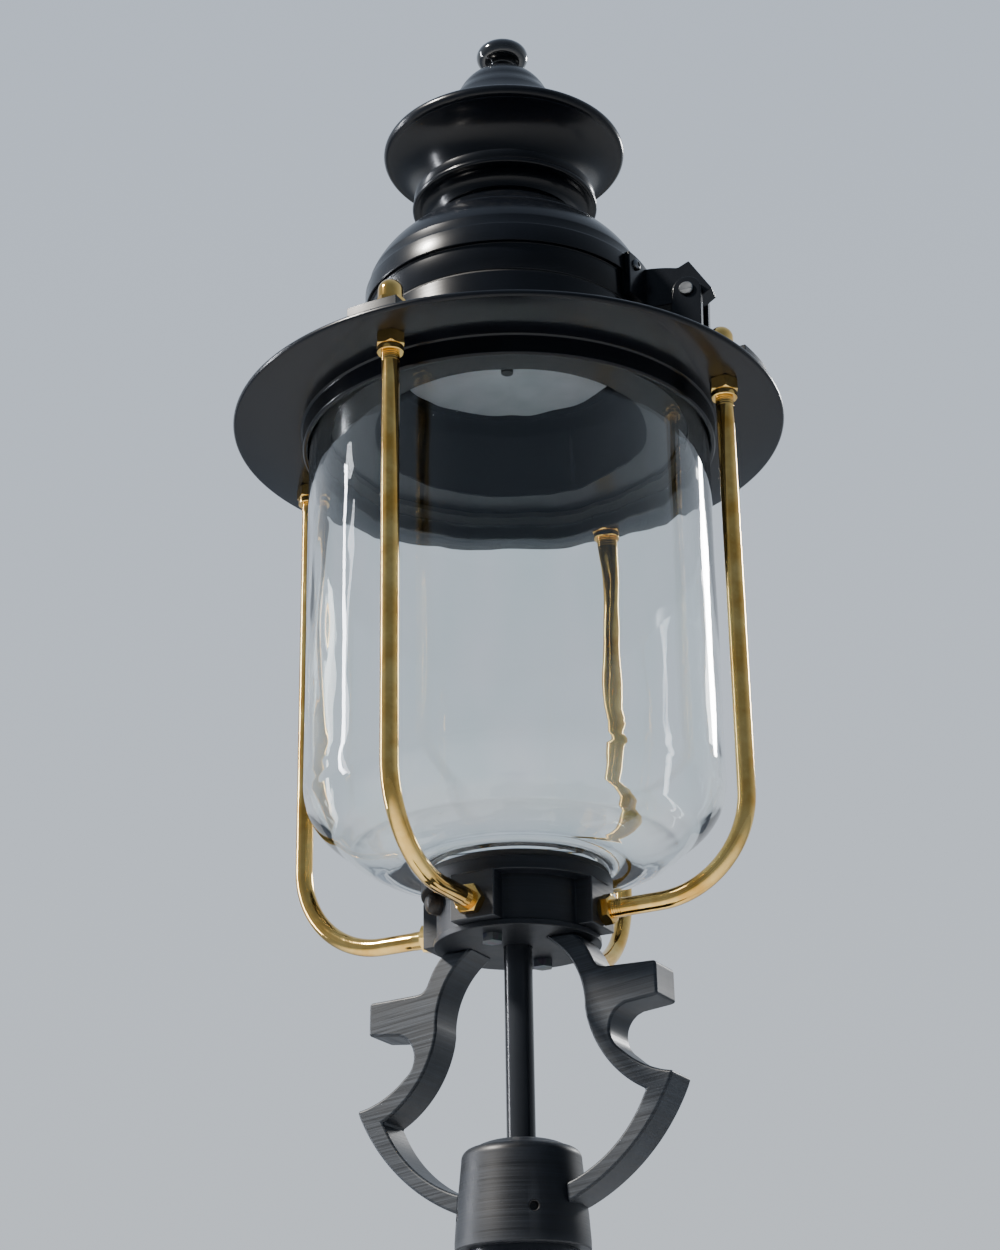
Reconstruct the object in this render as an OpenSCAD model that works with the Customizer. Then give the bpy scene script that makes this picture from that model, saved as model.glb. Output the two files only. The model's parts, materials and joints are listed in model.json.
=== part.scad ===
// Street lamp post: a post top lantern on a two leg frog and a base compartment column.
// Ground level is z = 0, the post axis is the z axis, all sizes in millimetres.

/* [Lantern] */
// outside diameter of the brim ring that carries the four rods
brim_d = 420; // [416:1:520]
// height of the brim underside above the ground
brim_z = 2490; // [2200:10:3400]
// thickness of the brim ring
brim_t = 5.5; // [4:0.5:8]
// outside diameter of the glass cylinder
glass_d = 305; // [290:1:310]
// wall thickness of the glass
glass_wall = 4; // [3:0.5:5]
// depth of the glass below the brim
glass_drop = 341; // [320:1:380]
// diameter of the circle the rods stand on
rod_circle_d = 357; // [352:1:360]
// diameter of each brass rod
rod_d = 13; // [10:0.1:14]
// bend radius of each rod at its foot
rod_bend_r = 68; // [60:1:74]
// wall thickness of the spun hood shells
shell_t = 3; // [2.5:0.5:4]
// outside diameter of the lid skirt
lid_d = 221; // [218:1:224]

/* [Vent cap] */
// outside diameter of the cap rim
cap_d = 193; // [170:1:210]
// diameter of the finial knob
knob_d = 42; // [34:1:50]

/* [Frog and socket] */
// thickness of each scroll leg casting
leg_t = 31; // [24:1:36]
// outside diameter of the centre conduit
conduit_d = 20; // [16:0.1:22]
// outside diameter of the socket at its foot
socket_d = 92; // [90:1:98]

/* [Column] */
// outside diameter of the post tube
post_d = 76.1; // [60:0.1:80]
// wall thickness of the post tube
post_wall = 4; // [3:0.5:5]
// outside diameter of the base tube
base_d = 139.7; // [128:0.1:150]
// wall thickness of the base tube
base_wall = 5; // [4:0.5:6]
// height of the base tube above the base plate
base_h = 900; // [820:10:1000]
// side length of the base plate
plate_w = 280; // [260:5:320]
// thickness of the base plate
plate_t = 16; // [12:1:20]
// distance between anchor bolt centres
bolt_pitch = 200; // [190:1:220]
// diameter of each anchor bolt hole
bolt_hole_d = 22; // [18:1:26]
// height of the access door
door_h = 400; // [340:10:460]

/* [Hidden] */
$fn = 96;
pin_gap = 0.05;      // radial running clearance at every pin
seat_gap = 0.3;      // gap between curved faces that move past each other
thread_gap = 0.15;   // gap round screws and studs in their holes
nut_af = 19;         // across flats of the rod nuts
nut_r = nut_af / 2 / cos(30);

brim_r = brim_d / 2;
glass_r = glass_d / 2;
rod_circle_r = rod_circle_d / 2;
rod_r = rod_d / 2;
lid_r = lid_d / 2;
band_r = lid_r - 3;
band_top = 83;
lid_low = band_top + 1.2;
lid_step_z = 107;
boss_h = 8;
boss_w = 40;
rod_low_z = -glass_drop - 45.5;      // centre line of the bent rod ends
gallery_top = rod_low_z + 30;
flange_t = 10;
flange_r = 68;
pad_r = 67;
pad_w = 34;
gallery_low = rod_low_z - 12.5;
frog_top = gallery_low;
frog_low = frog_top - 4.4;
socket_top = -539;
socket_shoulder = -551;
socket_low = -613;
grub_z = -590;
socket_grub_r = socket_d / 2 - 1.2;
socket_neck_r = 41.1;
post_top = -572;
hinge_x = 148;
hinge_z = 92.5;
hinge_az = 10;
hinge_pin_r = 3.5;
collar_low = 200.7;
collar_top = 213.5;
cap_r = cap_d / 2;
cap_rim_z = 252;
cap_shoulder_r = 38;
knob_r = knob_d / 2;
knob_z = 350;

base_r = base_d / 2;
post_r = post_d / 2;
base_top = plate_t + base_h;
door_low = plate_t + 260;
door_top = door_low + door_h;
door_w = 90;
door_t = base_wall;
door_edge = 2;      // gap round the door in its opening
door_pin_r = 4;
slot_half = door_w / 2;

// centre of the circle through three points
function arc_mid(a, b, c) =
  let (d = 2 * (a[0] * (b[1] - c[1]) + b[0] * (c[1] - a[1]) + c[0] * (a[1] - b[1])))
  let (p = a[0] * a[0] + a[1] * a[1])
  let (q = b[0] * b[0] + b[1] * b[1])
  let (s = c[0] * c[0] + c[1] * c[1])
  [(p * (b[1] - c[1]) + q * (c[1] - a[1]) + s * (a[1] - b[1])) / d,
   (p * (c[0] - b[0]) + q * (a[0] - c[0]) + s * (b[0] - a[0])) / d];

// the shortest signed turn from angle u to angle v that passes through m
function turn_through(u, m, v) =
  let (fwd = (v - u + 720) % 360)
  let (mid = (m - u + 720) % 360)
  mid <= fwd ? fwd : fwd - 360;

// points on the arc from a through b to c
function arc3(a, b, c, n = 8) =
  let (o = arc_mid(a, b, c))
  let (r = norm(a - o))
  let (u = atan2(a[1] - o[1], a[0] - o[0]))
  let (m = atan2(b[1] - o[1], b[0] - o[0]))
  let (v = atan2(c[1] - o[1], c[0] - o[0]))
  let (w = turn_through(u, m, v))
  [for (i = [0 : n]) o + r * [cos(u + w * i / n), sin(u + w * i / n)]];

// an upright hexagon bar with round edges on its top
module hex_nut(af, h, bore_r) {
  difference() {
    cylinder(r = af / 2 / cos(30), h = h, $fn = 6);
    translate([0, 0, -1]) cylinder(r = bore_r, h = h + 2);
  }
}

// a plain ring
module ring(r_out, r_in, h) {
  difference() {
    cylinder(r = r_out, h = h);
    translate([0, 0, -1]) cylinder(r = r_in, h = h + 2);
  }
}

// places a child at each of four rods
module at_rods() {
  for (k = [0 : 3]) rotate([0, 0, 90 * k]) translate([rod_circle_r, 0, 0]) children();
}

// moves a child up to the brim underside
module at_brim() {
  translate([0, 0, brim_z]) children();
}

// ---- column ----

module base_plate() {
  color("dimgray") difference() {
    translate([-plate_w / 2, -plate_w / 2, 0]) cube([plate_w, plate_w, plate_t]);
    translate([0, 0, -1]) cylinder(r = 45, h = plate_t + 2);
    for (x = [-1, 1]) for (y = [-1, 1])
      translate([x * bolt_pitch / 2, y * bolt_pitch / 2, -1]) cylinder(d = bolt_hole_d, h = plate_t + 2);
  }
}

module base_tube() {
  color("dimgray") difference() {
    translate([0, 0, plate_t]) ring(base_r, base_r - base_wall, base_h);
    translate([-slot_half, -base_r - 10, door_low]) cube([door_w, base_r, door_h]);
  }
}

module base_gussets() {
  color("dimgray") for (k = [0 : 3]) rotate([0, 0, 45 + 90 * k])
    translate([0, 5, plate_t]) rotate([90, 0, 0]) linear_extrude(10) difference() {
      polygon([[base_r, 0], [base_r + 36, 0], [base_r + 36, 12], [base_r + 10, 110], [base_r, 110]]);
      translate([-10, -10]) square([base_r + 10, 5]);
    }
}

module base_cap() {
  cap_in = post_r + 8;
  color("dimgray") translate([0, 0, base_top]) rotate_extrude() polygon(concat(
    [[post_r + 0.5, 0], [base_r + 6, 0]],
    arc3([base_r + 6, 0], [base_r + 10, 7], [base_r + 6, 14], 6),
    [[base_r + 1, 16]],
    arc3([base_r + 1, 16], [base_r - 12, 34], [cap_in, 62], 10),
    [[cap_in + 3, 66], [cap_in + 3, 74], [cap_in - 3, 80], [post_r + 0.5, 80]]));
}

module post_tube() {
  low = base_top - 120;
  color("dimgray") translate([0, 0, low]) ring(post_r, post_r - post_wall, brim_z + post_top - low);
}

module post_sleeve() {
  low = base_top - 110;
  color("dimgray") {
    translate([0, 0, low]) ring(base_r - base_wall - 0.3, post_r + 0.3, 14);
    translate([0, 0, base_top - 20]) ring(base_r - base_wall - 0.3, post_r + 0.3, 14);
  }
}

module post_rings() {
  color("dimgray") for (h = [0, 1]) translate([0, 0, h == 0 ? base_top + 420 : brim_z + socket_low - 60])
    rotate_extrude() polygon(concat([[post_r + 0.3, 0], [post_r + 4, 0], [post_r + 5, 4]],
      arc3([post_r + 5, 4], [post_r + 11, 12], [post_r + 5, 20], 10),
      [[post_r + 4, 24], [post_r + 0.3, 24]]));
}

module door_curve(r_out, r_in, half, low, high) {
  intersection() {
    translate([0, 0, low]) ring(r_out, r_in, high - low);
    translate([-half, -r_out - 5, low - 5]) cube([2 * half, r_out, high - low + 10]);
  }
}

door_pin_x = -slot_half - 16;
door_pin_y = -base_r - 5;
knuckle_r = 8;

module access_door() {
  color("dimgray") difference() {
    door_curve(base_r, base_r - door_t, slot_half - door_edge, door_low + door_edge, door_top - door_edge);
    translate([slot_half - 22, 0, (door_low + door_top) / 2]) rotate([90, 0, 0])
      cylinder(r = 9 + pin_gap, h = base_r + 10);
  }
}

function knuckle_zs() = [door_low + 60, door_top - 60];

module door_hinge_barrels() {
  color("dimgray") for (z = knuckle_zs()) for (s = [-26, 12]) translate([0, 0, z + s]) difference() {
    union() {
      translate([door_pin_x, door_pin_y, 0]) cylinder(r = knuckle_r, h = 14);
      translate([door_pin_x, door_pin_y, 0]) cube([10, -door_pin_y - sqrt(base_r * base_r - 51 * 51) + 3, 14]);
    }
    translate([door_pin_x, door_pin_y, -1]) cylinder(r = door_pin_r, h = 16);
    translate([0, 0, -1]) cylinder(r = base_r, h = 16);
  }
}

module door_hinge_pins() {
  color("silver") for (z = knuckle_zs()) translate([door_pin_x, door_pin_y, z - 26]) {
    cylinder(r = door_pin_r, h = 52);
    translate([0, 0, 52]) cylinder(r = 6, h = 2.5);
  }
}

module door_knuckles() {
  arm_low = door_pin_y - 6;
  color("dimgray") for (z = knuckle_zs()) translate([0, 0, z - 11.5]) difference() {
    union() {
      translate([door_pin_x, door_pin_y, 0]) cylinder(r = knuckle_r, h = 23);
      translate([door_pin_x, door_pin_y - knuckle_r, 0]) cube([36, 6, 23]);
      translate([door_pin_x + 26, door_pin_y - knuckle_r, 0]) cube([10, 26, 23]);
    }
    translate([door_pin_x, door_pin_y, -1]) cylinder(r = door_pin_r + pin_gap, h = 25);
    translate([0, 0, -1]) cylinder(r = base_r, h = 25);
  }
}

lock_y = -sqrt(base_r * base_r - (slot_half - 22) * (slot_half - 22));

module door_lock() {
  color("silver") translate([slot_half - 22, lock_y, (door_low + door_top) / 2]) rotate([90, 0, 0]) difference() {
    union() {
      translate([0, 0, -27]) cylinder(r = 9, h = 33);
      translate([0, 0, 3.6]) cylinder(r = 12, h = 4);
    }
    translate([0, 0, 2]) cylinder(r = 5.2, h = 9, $fn = 3);
  }
}

module lock_cam() {
  color("silver") translate([slot_half - 22, lock_y, (door_low + door_top) / 2]) rotate([90, 0, 0])
    translate([-6, -8, -30]) cube([12, 32, 3]);
}

module cutout_board() {
  color("saddlebrown") translate([-38, 20, door_low + 30]) cube([76, 10, door_h - 60]);
}

module cutout_box() {
  color("black") difference() {
    translate([-34, -22, door_low + 120]) cube([68, 42, 150]);
    for (x = [-18, 18]) translate([x, -30, door_low + 200]) rotate([-90, 0, 0]) cylinder(r = 8, h = 20);
  }
}

module board_brackets() {
  color("silver") for (z = [door_low + 50, door_top - 70]) translate([-30, 30, z])
    cube([60, sqrt((base_r - base_wall) * (base_r - base_wall) - 900) - 30, 20]);
}

module earth_stud() {
  color("gold") translate([0, 0, door_low + 12]) rotate([-90, 0, 0]) {
    translate([0, 0, base_r - base_wall - 26.2]) cylinder(r = 4, h = 26);
    translate([0, 0, base_r - base_wall - 8]) hex_nut(13, 6.5, 4);
  }
}

// ---- frog and socket ----

module socket() {
  top_r = socket_neck_r - 0.6;
  foot_r = socket_d / 2;
  color("dimgray") at_brim() difference() {
    rotate_extrude() polygon(concat([[0, socket_low], [foot_r, socket_low], [foot_r, socket_low + 6]],
      [[socket_grub_r, grub_z], [socket_neck_r, socket_shoulder - 2]],
      arc3([socket_neck_r, socket_shoulder - 2], [top_r - 1.5, socket_shoulder + 3.5], [top_r - 7, socket_shoulder + 6], 6),
      arc3([top_r - 7, socket_shoulder + 6], [26, socket_top - 2], [15, socket_top], 6),
      [[0, socket_top]]));
    translate([0, 0, socket_low - 1]) cylinder(r = post_r + thread_gap, h = post_top - socket_low + 1);
    translate([0, 0, post_top - 1]) cylinder(r = post_r - 10, h = 12);
    translate([0, 0, post_top]) cylinder(r = conduit_d / 2, h = 60);
    for (k = [0 : 3]) rotate([0, 0, 37.5 + 90 * k]) translate([post_r - 2, 0, grub_z]) rotate([0, 90, 0])
      cylinder(r = 4, h = 20);
  }
}

module grub_screws() {
  color("black") at_brim() for (k = [0 : 3]) rotate([0, 0, 37.5 + 90 * k])
    translate([post_r, 0, grub_z]) rotate([0, 90, 0]) difference() {
      cylinder(r = 4, h = socket_d / 2 - post_r - 1.5);
      translate([0, 0, socket_d / 2 - post_r - 5.5]) cylinder(r = 2 / cos(30), h = 6, $fn = 6);
    }
}

conduit_low = post_top - 30;
module conduit() {
  color("black") at_brim() translate([0, 0, conduit_low]) ring(conduit_d / 2, conduit_d / 2 - 1.8, gallery_low + 20 - conduit_low);
}

module conduit_locknuts() {
  color("silver") at_brim() {
    translate([0, 0, post_top + 1]) hex_nut(27, 6, conduit_d / 2);
    translate([0, 0, gallery_low + 12]) hex_nut(27, 6, conduit_d / 2);
  }
}

plate_r = 59;
module frog_plate() {
  color("black") at_brim() difference() {
    translate([0, 0, frog_low]) cylinder(r = plate_r, h = frog_top - frog_low);
    translate([0, 0, frog_low - 1]) cylinder(r = conduit_d / 2, h = 20);
    for (y = [-38, 38]) translate([0, y, frog_low - 1]) cylinder(r = 4, h = 20);
  }
}

module frog_screws() {
  color("silver") at_brim() for (y = [-38, 38]) translate([0, y, frog_low]) {
    cylinder(r = 4, h = 20);
    translate([0, 0, -5.5]) hex_nut(13, 5.5, 0.01);
  }
}

// outline of one scroll leg, u outward from the axis and z from the brim underside
function leg_outline() = concat(
  arc3([41.3, -586.8], [89.5, -555.4], [119.4, -513], 18),
  arc3([120.4, -510.4], [120.6, -508.2], [118.6, -507.2], 4),
  arc3([114, -506.2], [103.5, -502.3], [88, -492.6], 8),
  arc3([83.5, -488.6], [76.4, -471.5], [84.5, -459.8], 12),
  [[88.5, -458.2], [109, -456]],
  arc3([110.6, -455.6], [112, -454.6], [112.2, -453], 4),
  arc3([112, -434.4], [111.4, -432.4], [109.4, -431.4], 4),
  [[74, -430.4]],
  arc3([70.4, -429.8], [67.2, -427.6], [65, -424], 6),
  arc3([62.4, -418.6], [57.4, -410.4], [50.7, frog_low], 6),
  arc3([28, frog_low], [47.8, -422], [57.6, -457], 14),
  arc3([58.6, -463.5], [70.6, -491], [101, -517.8], 14),
  arc3([99, -521.5], [79.5, -549.3], [39.9, -573.6], 14));

module leg_blank() {
  translate([0, leg_t / 2, 0]) rotate([90, 0, 0]) linear_extrude(leg_t) polygon(leg_outline());
}

module frog_leg() {
  at_brim() difference() {
    leg_blank();
    translate([0, 0, grub_z]) cylinder(r1 = socket_grub_r, r2 = socket_neck_r, h = socket_shoulder - 2 - grub_z);
  }
}

module frog_leg_left() {
  color("black") mirror([1, 0, 0]) frog_leg();
}

module frog_leg_right() {
  color("black") frog_leg();
}

// ---- lantern frame ----

neck_in = 61;
gallery_r = plate_r - 2;
module gallery() {
  color("black") at_brim() difference() {
    union() {
      translate([0, 0, gallery_top - flange_t]) cylinder(r = flange_r, h = flange_t);
      translate([0, 0, gallery_low]) cylinder(r = gallery_r, h = gallery_top - gallery_low - 2);
      for (k = [0 : 3]) rotate([0, 0, 90 * k]) translate([0, -pad_w / 2, gallery_low])
        cube([pad_r, pad_w, gallery_top - flange_t - gallery_low + 2]);
    }
    translate([0, 0, gallery_low + 12]) cylinder(r = 40, h = 60);
    translate([0, 0, gallery_low - 1]) cylinder(r = conduit_d / 2, h = 40);
    for (k = [0 : 3]) rotate([0, 0, 90 * k]) translate([36, 0, rod_low_z]) rotate([0, 90, 0])
      cylinder(r = rod_r, h = 60);
    for (y = [-38, 38]) translate([0, y, gallery_low - 1]) cylinder(r = 4, h = 17);
    at_gallery_screw() {
      translate([0, 0, 36]) cylinder(r = 4, h = 40);
      translate([0, 0, gallery_r - 1.2]) cylinder(r = 9, h = 20);
    }
  }
}

// places children on the clamp screw's axis between two pads, pointing outward
module at_gallery_screw() {
  rotate([0, 0, 225]) translate([0, 0, gallery_top - flange_t - 9]) rotate([0, 90, 0]) children();
}

module gallery_screw() {
  color("black") at_brim() at_gallery_screw() {
    translate([0, 0, 42]) cylinder(r = 4, h = 16);
    translate([0, 0, gallery_r - 1.2]) rotate_extrude() polygon(concat(
      [[0, 0], [8.4, 0], [8.4, 4]],
      arc3([8.4, 4], [6.2, 9.6], [0, 11.6], 8)));
  }
}

glass_low = -glass_drop;
module glass() {
  r = glass_r;
  w = glass_wall;
  color("lightcyan", 0.4) at_brim() rotate_extrude() polygon(concat(
    [[r - w, -5.4], [r - w / 2, -4.2], [r, -5.4]],
    arc3([r, -284], [r - 5.5, -306], [r - 22, -323], 10),
    arc3([r - 34.6, glass_low], [r - 60, glass_low - 5], [neck_in + 6, gallery_top + 6], 8),
    [[neck_in + 3, gallery_top + 4], [neck_in, gallery_top + 4], [neck_in, gallery_top + 9]],
    arc3([r - 60 - w / 2, glass_low - 5 + w], [r - 45, glass_low - 1 + w], [r - 35.6, glass_low + w], 6),
    arc3([r - 24.5, -320], [r - 9.5, -303.5], [r - w, -284], 10)));
}

module glass_seal_low() {
  color("black") at_brim() translate([0, 0, gallery_top]) ring(neck_in + 5, neck_in - 4, 4);
}

module glass_seal_top() {
  color("black") at_brim() translate([0, 0, -4]) ring(glass_r - 0.5, glass_r - 16, 4);
}

module rod_shape() {
  high = brim_t + boss_h + 18;
  translate([rod_circle_r, 0, rod_low_z + rod_bend_r]) cylinder(r = rod_r, h = high - rod_low_z - rod_bend_r);
  translate([rod_circle_r - rod_bend_r, 0, rod_low_z + rod_bend_r]) rotate([90, 0, 0]) rotate([0, 0, -90])
    rotate_extrude(angle = 90) translate([rod_bend_r, 0]) circle(r = rod_r);
  translate([44, 0, rod_low_z]) rotate([0, 90, 0]) cylinder(r = rod_r, h = rod_circle_r - rod_bend_r - 44);
}

module rod_1() {
  color("gold") at_brim() rod_shape();
}

module rod_2() {
  color("gold") at_brim() rotate([0, 0, 90]) rod_shape();
}

module rod_3() {
  color("gold") at_brim() rotate([0, 0, 180]) rod_shape();
}

module rod_4() {
  color("gold") at_brim() rotate([0, 0, 270]) rod_shape();
}

module rod_foot_nuts() {
  color("gold") at_brim() for (k = [0 : 3]) rotate([0, 0, 90 * k]) translate([pad_r, 0, rod_low_z]) rotate([0, 90, 0])
    hex_nut(nut_af, 8, rod_r);
}

module rod_under_nuts() {
  color("gold") at_brim() at_rods() {
    translate([0, 0, -10]) hex_nut(nut_af, 10, rod_r);
    translate([0, 0, -15]) ring(nut_r - 1.4, rod_r, 5);
  }
}

seat_z = brim_t + boss_h;
module rod_washers() {
  color("gold") at_brim() at_rods() translate([0, 0, seat_z]) ring(12.5, rod_r, 2);
}

module rod_dome_nuts() {
  color("gold") at_brim() at_rods() translate([0, 0, seat_z + 2]) difference() {
    union() {
      cylinder(r = nut_r, h = 13, $fn = 6);
      translate([0, 0, 12.5]) cylinder(r = 9.2, h = 9.8);
      translate([0, 0, 22.3]) scale([1, 1, 1]) intersection() {
        translate([0, 0, -3]) sphere(r = 9.7);
        cylinder(r = 9.3, h = 9.8);
      }
    }
    translate([0, 0, -1]) cylinder(r = rod_r, h = 17);
  }
}

band_in = band_r - shell_t;
lip_in = band_in - 4.5;
module hood_ring() {
  color("black") at_brim() difference() {
    union() {
      rotate_extrude() polygon(concat(
        [[band_in + 0.2, brim_t], [band_in + 0.2, 0], [glass_r + 0.8, 0], [glass_r + 0.8, -16]],
        [[glass_r + 4.8, -16], [glass_r + 4.8, 0], [brim_r - 1, 0]],
        arc3([brim_r - 1, 0], [brim_r, brim_t / 2], [brim_r - 1, brim_t], 6)));
      at_rods() translate([-18, -boss_w / 2, 0]) intersection() {
        cube([44.5, boss_w, seat_z]);
        translate([-rod_circle_r + 18, boss_w / 2, 0]) cylinder(r = brim_r - 4, h = seat_z);
      }
    }
    at_rods() translate([0, 0, -20]) cylinder(r = rod_r, h = 60);
    for (y = [-1, 1]) rotate([0, 0, hinge_az]) translate([hinge_x - 14, y * 13, -5]) cylinder(r = 2.5, h = 20);
  }
}

module hood_band() {
  color("black") at_brim() rotate_extrude() polygon([[band_in, brim_t], [band_r + 2, brim_t],
    [band_r + 2, brim_t + 3], [band_r, brim_t + 5], [band_r, band_top - 0.6], [band_r - 0.6, band_top],
    [band_in, band_top]]);
}

module band_lip() {
  color("black") at_brim() rotate_extrude() polygon([[lip_in, 66], [band_in, 66], [band_in, band_top - 1],
    [band_in - 1.5, band_top], [band_in - 1.5, band_top + 4], [lip_in, band_top + 4]]);
}

module band_gasket() {
  color("black") at_brim() translate([0, 0, band_top]) ring(band_r - 0.8, band_in - 1, 1);
}

module diffuser() {
  color("white") at_brim() difference() {
    translate([0, 0, 63]) cylinder(r = 86, h = 3);
    translate([0, 0, 60]) cylinder(r = 3, h = 10);
  }
}

module diffuser_nut() {
  color("black") at_brim() {
    translate([0, 0, 56.5]) cylinder(r = 5.5, h = 6.5);
    translate([0, 0, 62.5]) cylinder(r = 3, h = 18.5);
    for (x = [-1, 1]) translate([x * 76, 0, 66]) cylinder(r = 5, h = 11);
  }
}

module lamp_board() {
  color("white") at_brim() difference() {
    translate([0, 0, 77]) cylinder(r = 84, h = 4);
    translate([0, 0, 70]) cylinder(r = 3, h = 20);
  }
}

module gear_tray() {
  color("silver") at_brim() difference() {
    union() {
      translate([0, 0, 81]) cylinder(r = 96, h = 3);
      intersection() {
        translate([-band_in, -14, 81]) cube([2 * band_in, 28, 3]);
        translate([0, 0, 80]) cylinder(r = lip_in, h = 5);
      }
    }
    for (x = [-1, 1]) for (y = [-1, 1]) translate([x * 40, y * 30, 80]) cylinder(r = 2, h = 6);
  }
}

module gear_posts() {
  color("silver") at_brim() for (x = [-1, 1]) for (y = [-1, 1]) translate([x * 40, y * 30, 81])
    cylinder(r = 2, h = 9);
}

module lamp_driver() {
  color("white") at_brim() translate([-60, -24, 84]) cube([88, 48, 24]);
}

module terminal_block() {
  color("ivory") at_brim() difference() {
    translate([46, -20, 84]) cube([18, 40, 14]);
    for (y = [-12, 0, 12]) translate([55, y, 90]) cylinder(r = 3, h = 10);
  }
}

// ---- lid and its hinge ----

module at_hinge() {
  at_brim() rotate([0, 0, hinge_az]) children();
}

bracket_gap = 0.4;
knuckle_w = 16;
cheek_w = 7;

module hinge_bracket() {
  half = knuckle_w / 2 + bracket_gap;
  color("black") at_hinge() difference() {
    union() {
      translate([hinge_x - 24, -20, brim_t]) cube([33, 40, 5]);
      translate([hinge_x - 14, -half, hinge_z - 40]) cube([10.4, 2 * half, 28.4]);
      for (s = [0, 1]) mirror([0, s, 0]) translate([0, half + cheek_w, 0]) rotate([90, 0, 0]) linear_extrude(cheek_w)
        polygon(concat([[hinge_x - 20, brim_t + 4], [hinge_x + 9, brim_t + 4]],
          arc3([hinge_x + 11, hinge_z], [hinge_x, hinge_z + 11], [hinge_x - 11, hinge_z], 10),
          [[hinge_x - 13, hinge_z - 20]]));
    }
    translate([hinge_x, 0, hinge_z]) rotate([90, 0, 0]) cylinder(r = hinge_pin_r, h = 60, center = true);
    for (y = [-1, 1]) translate([hinge_x - 14, y * 13, 0]) cylinder(r = 2.5, h = 20);
  }
}

module hinge_pin() {
  color("silver") at_hinge() translate([hinge_x, 0, hinge_z]) rotate([90, 0, 0]) {
    cylinder(r = hinge_pin_r, h = knuckle_w + 2 * bracket_gap + 2 * cheek_w, center = true);
    for (s = [0, 1]) mirror([0, 0, s]) translate([0, 0, knuckle_w / 2 + bracket_gap + cheek_w]) cylinder(r = 5.5, h = 2.5);
  }
}

leaf_r = lid_r + 5;
leaf_screw_z = 114;
leaf_screw_turn = 13.5;

// places a child on the two leaf screw axes, pointing outward
module at_leaf_screws() {
  for (a = [-1, 1]) rotate([0, 0, a * leaf_screw_turn]) translate([0, 0, leaf_screw_z]) rotate([0, 90, 0]) children();
}

module hinge_leaf() {
  color("black") at_hinge() difference() {
    union() {
      intersection() {
        translate([0, 0, lid_low + 2]) ring(leaf_r, band_r + 0.02, 36);
        translate([70, -36, 0]) cube([80, 72, 200]);
      }
      translate([0, knuckle_w / 2, 0]) rotate([90, 0, 0]) linear_extrude(knuckle_w)
        polygon([[band_r - 4, hinge_z - 6], [hinge_x - 10, hinge_z - 6], [hinge_x - 3, hinge_z - 10.3],
          [hinge_x + 6, hinge_z - 8], [hinge_x + 11, hinge_z - 3], [hinge_x + 18, hinge_z + 2],
          [hinge_x + 1, hinge_z + 29], [hinge_x - 7, hinge_z + 25], [band_r - 4, hinge_z + 29]]);
    }
    translate([0, 0, lid_low - 10]) cylinder(r = band_r + 0.02, h = 80);
    translate([0, 0, lid_step_z]) cylinder(r = lid_r + 0.02, h = 60);
    translate([hinge_x, 0, hinge_z]) rotate([90, 0, 0]) cylinder(r = hinge_pin_r + pin_gap, h = 60, center = true);
    at_leaf_screws() cylinder(r = 2.5, h = 140);
  }
}

module hinge_screws() {
  color("silver") at_hinge() at_leaf_screws() {
    translate([0, 0, leaf_r - 10]) cylinder(r = 2.5, h = 12);
    translate([0, 0, leaf_r]) cylinder(r = 4.4, h = 2.6);
  }
}

// stepped bell: grooves turned into the shell between the collar and the skirt
module lid_bell() {
  t = shell_t;
  r = lid_r;
  color("black") at_brim() difference() {
    rotate_extrude() polygon(concat(
      [[band_r, lid_low], [band_r, lid_step_z], [r - 0.6, lid_step_z], [r, lid_step_z + 0.6]],
      [[r, 122.5], [r - 3, 123.5], [r - 3, 131.6]],
      arc3([r - 8.4, 142.6], [r - 15.4, 150.4], [r - 23, 159.5], 4),
      [[r - 24, 161.5], [r - 25.4, 161.5]],
      arc3([r - 28, 164.6], [r - 33, 168.8], [r - 36, 169], 3),
      [[r - 37, 171.5], [r - 38.6, 171.5], [r - 44, 178.6], [r - 52, 184], [53, 188], [53, 183]],
      [[r - 52, 179], [r - 46, 174.6], [r - 40, 167], [r - 30, 160], [r - 20, 149.5], [r - 12.5, 140.6]],
      [[r - 7.5, 129], [r - 7.5, 120.5], [band_r - t, 117.5], [band_r - t, lid_low]]));
    rotate([0, 0, hinge_az]) at_leaf_screws() cylinder(r = 2.5, h = 140);
  }
}

module neck_tube() {
  color("black") at_brim() translate([0, 0, 180]) ring(53, 49, collar_low - 180 + 3);
}

module neck_collar() {
  color("black") at_brim() rotate_extrude() polygon(concat(
    [[53.1, 190], [56, 190]],
    arc3([56, 190], [58.5, 197], [66, collar_low], 6),
    [[70.5, collar_low]],
    arc3([70.5, collar_low], [73.6, collar_low + 2.6], [71.6, collar_low + 5], 6),
    [[71.6, collar_top], [60, collar_top], [53.1, collar_low + 6]]));
}

module cap_foot() {
  r = cap_r - 5;
  color("black") at_brim() difference() {
    rotate_extrude() polygon(concat(
      [[0, collar_top], [58, collar_top]],
      arc3([58, collar_top], [63, 228], [r, cap_rim_z - 4], 10),
      [[r, cap_rim_z - 2]],
      arc3([r - 4, cap_rim_z - 2], [62, 233], [52, collar_top + 5], 8),
      [[0, collar_top + 5]]));
    translate([0, 0, 200]) cylinder(r = 5, h = 40);
    for (k = [0 : 7]) rotate([0, 0, 45 * k]) translate([30, 0, 200]) cylinder(r = 8, h = 40);
  }
}

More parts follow.
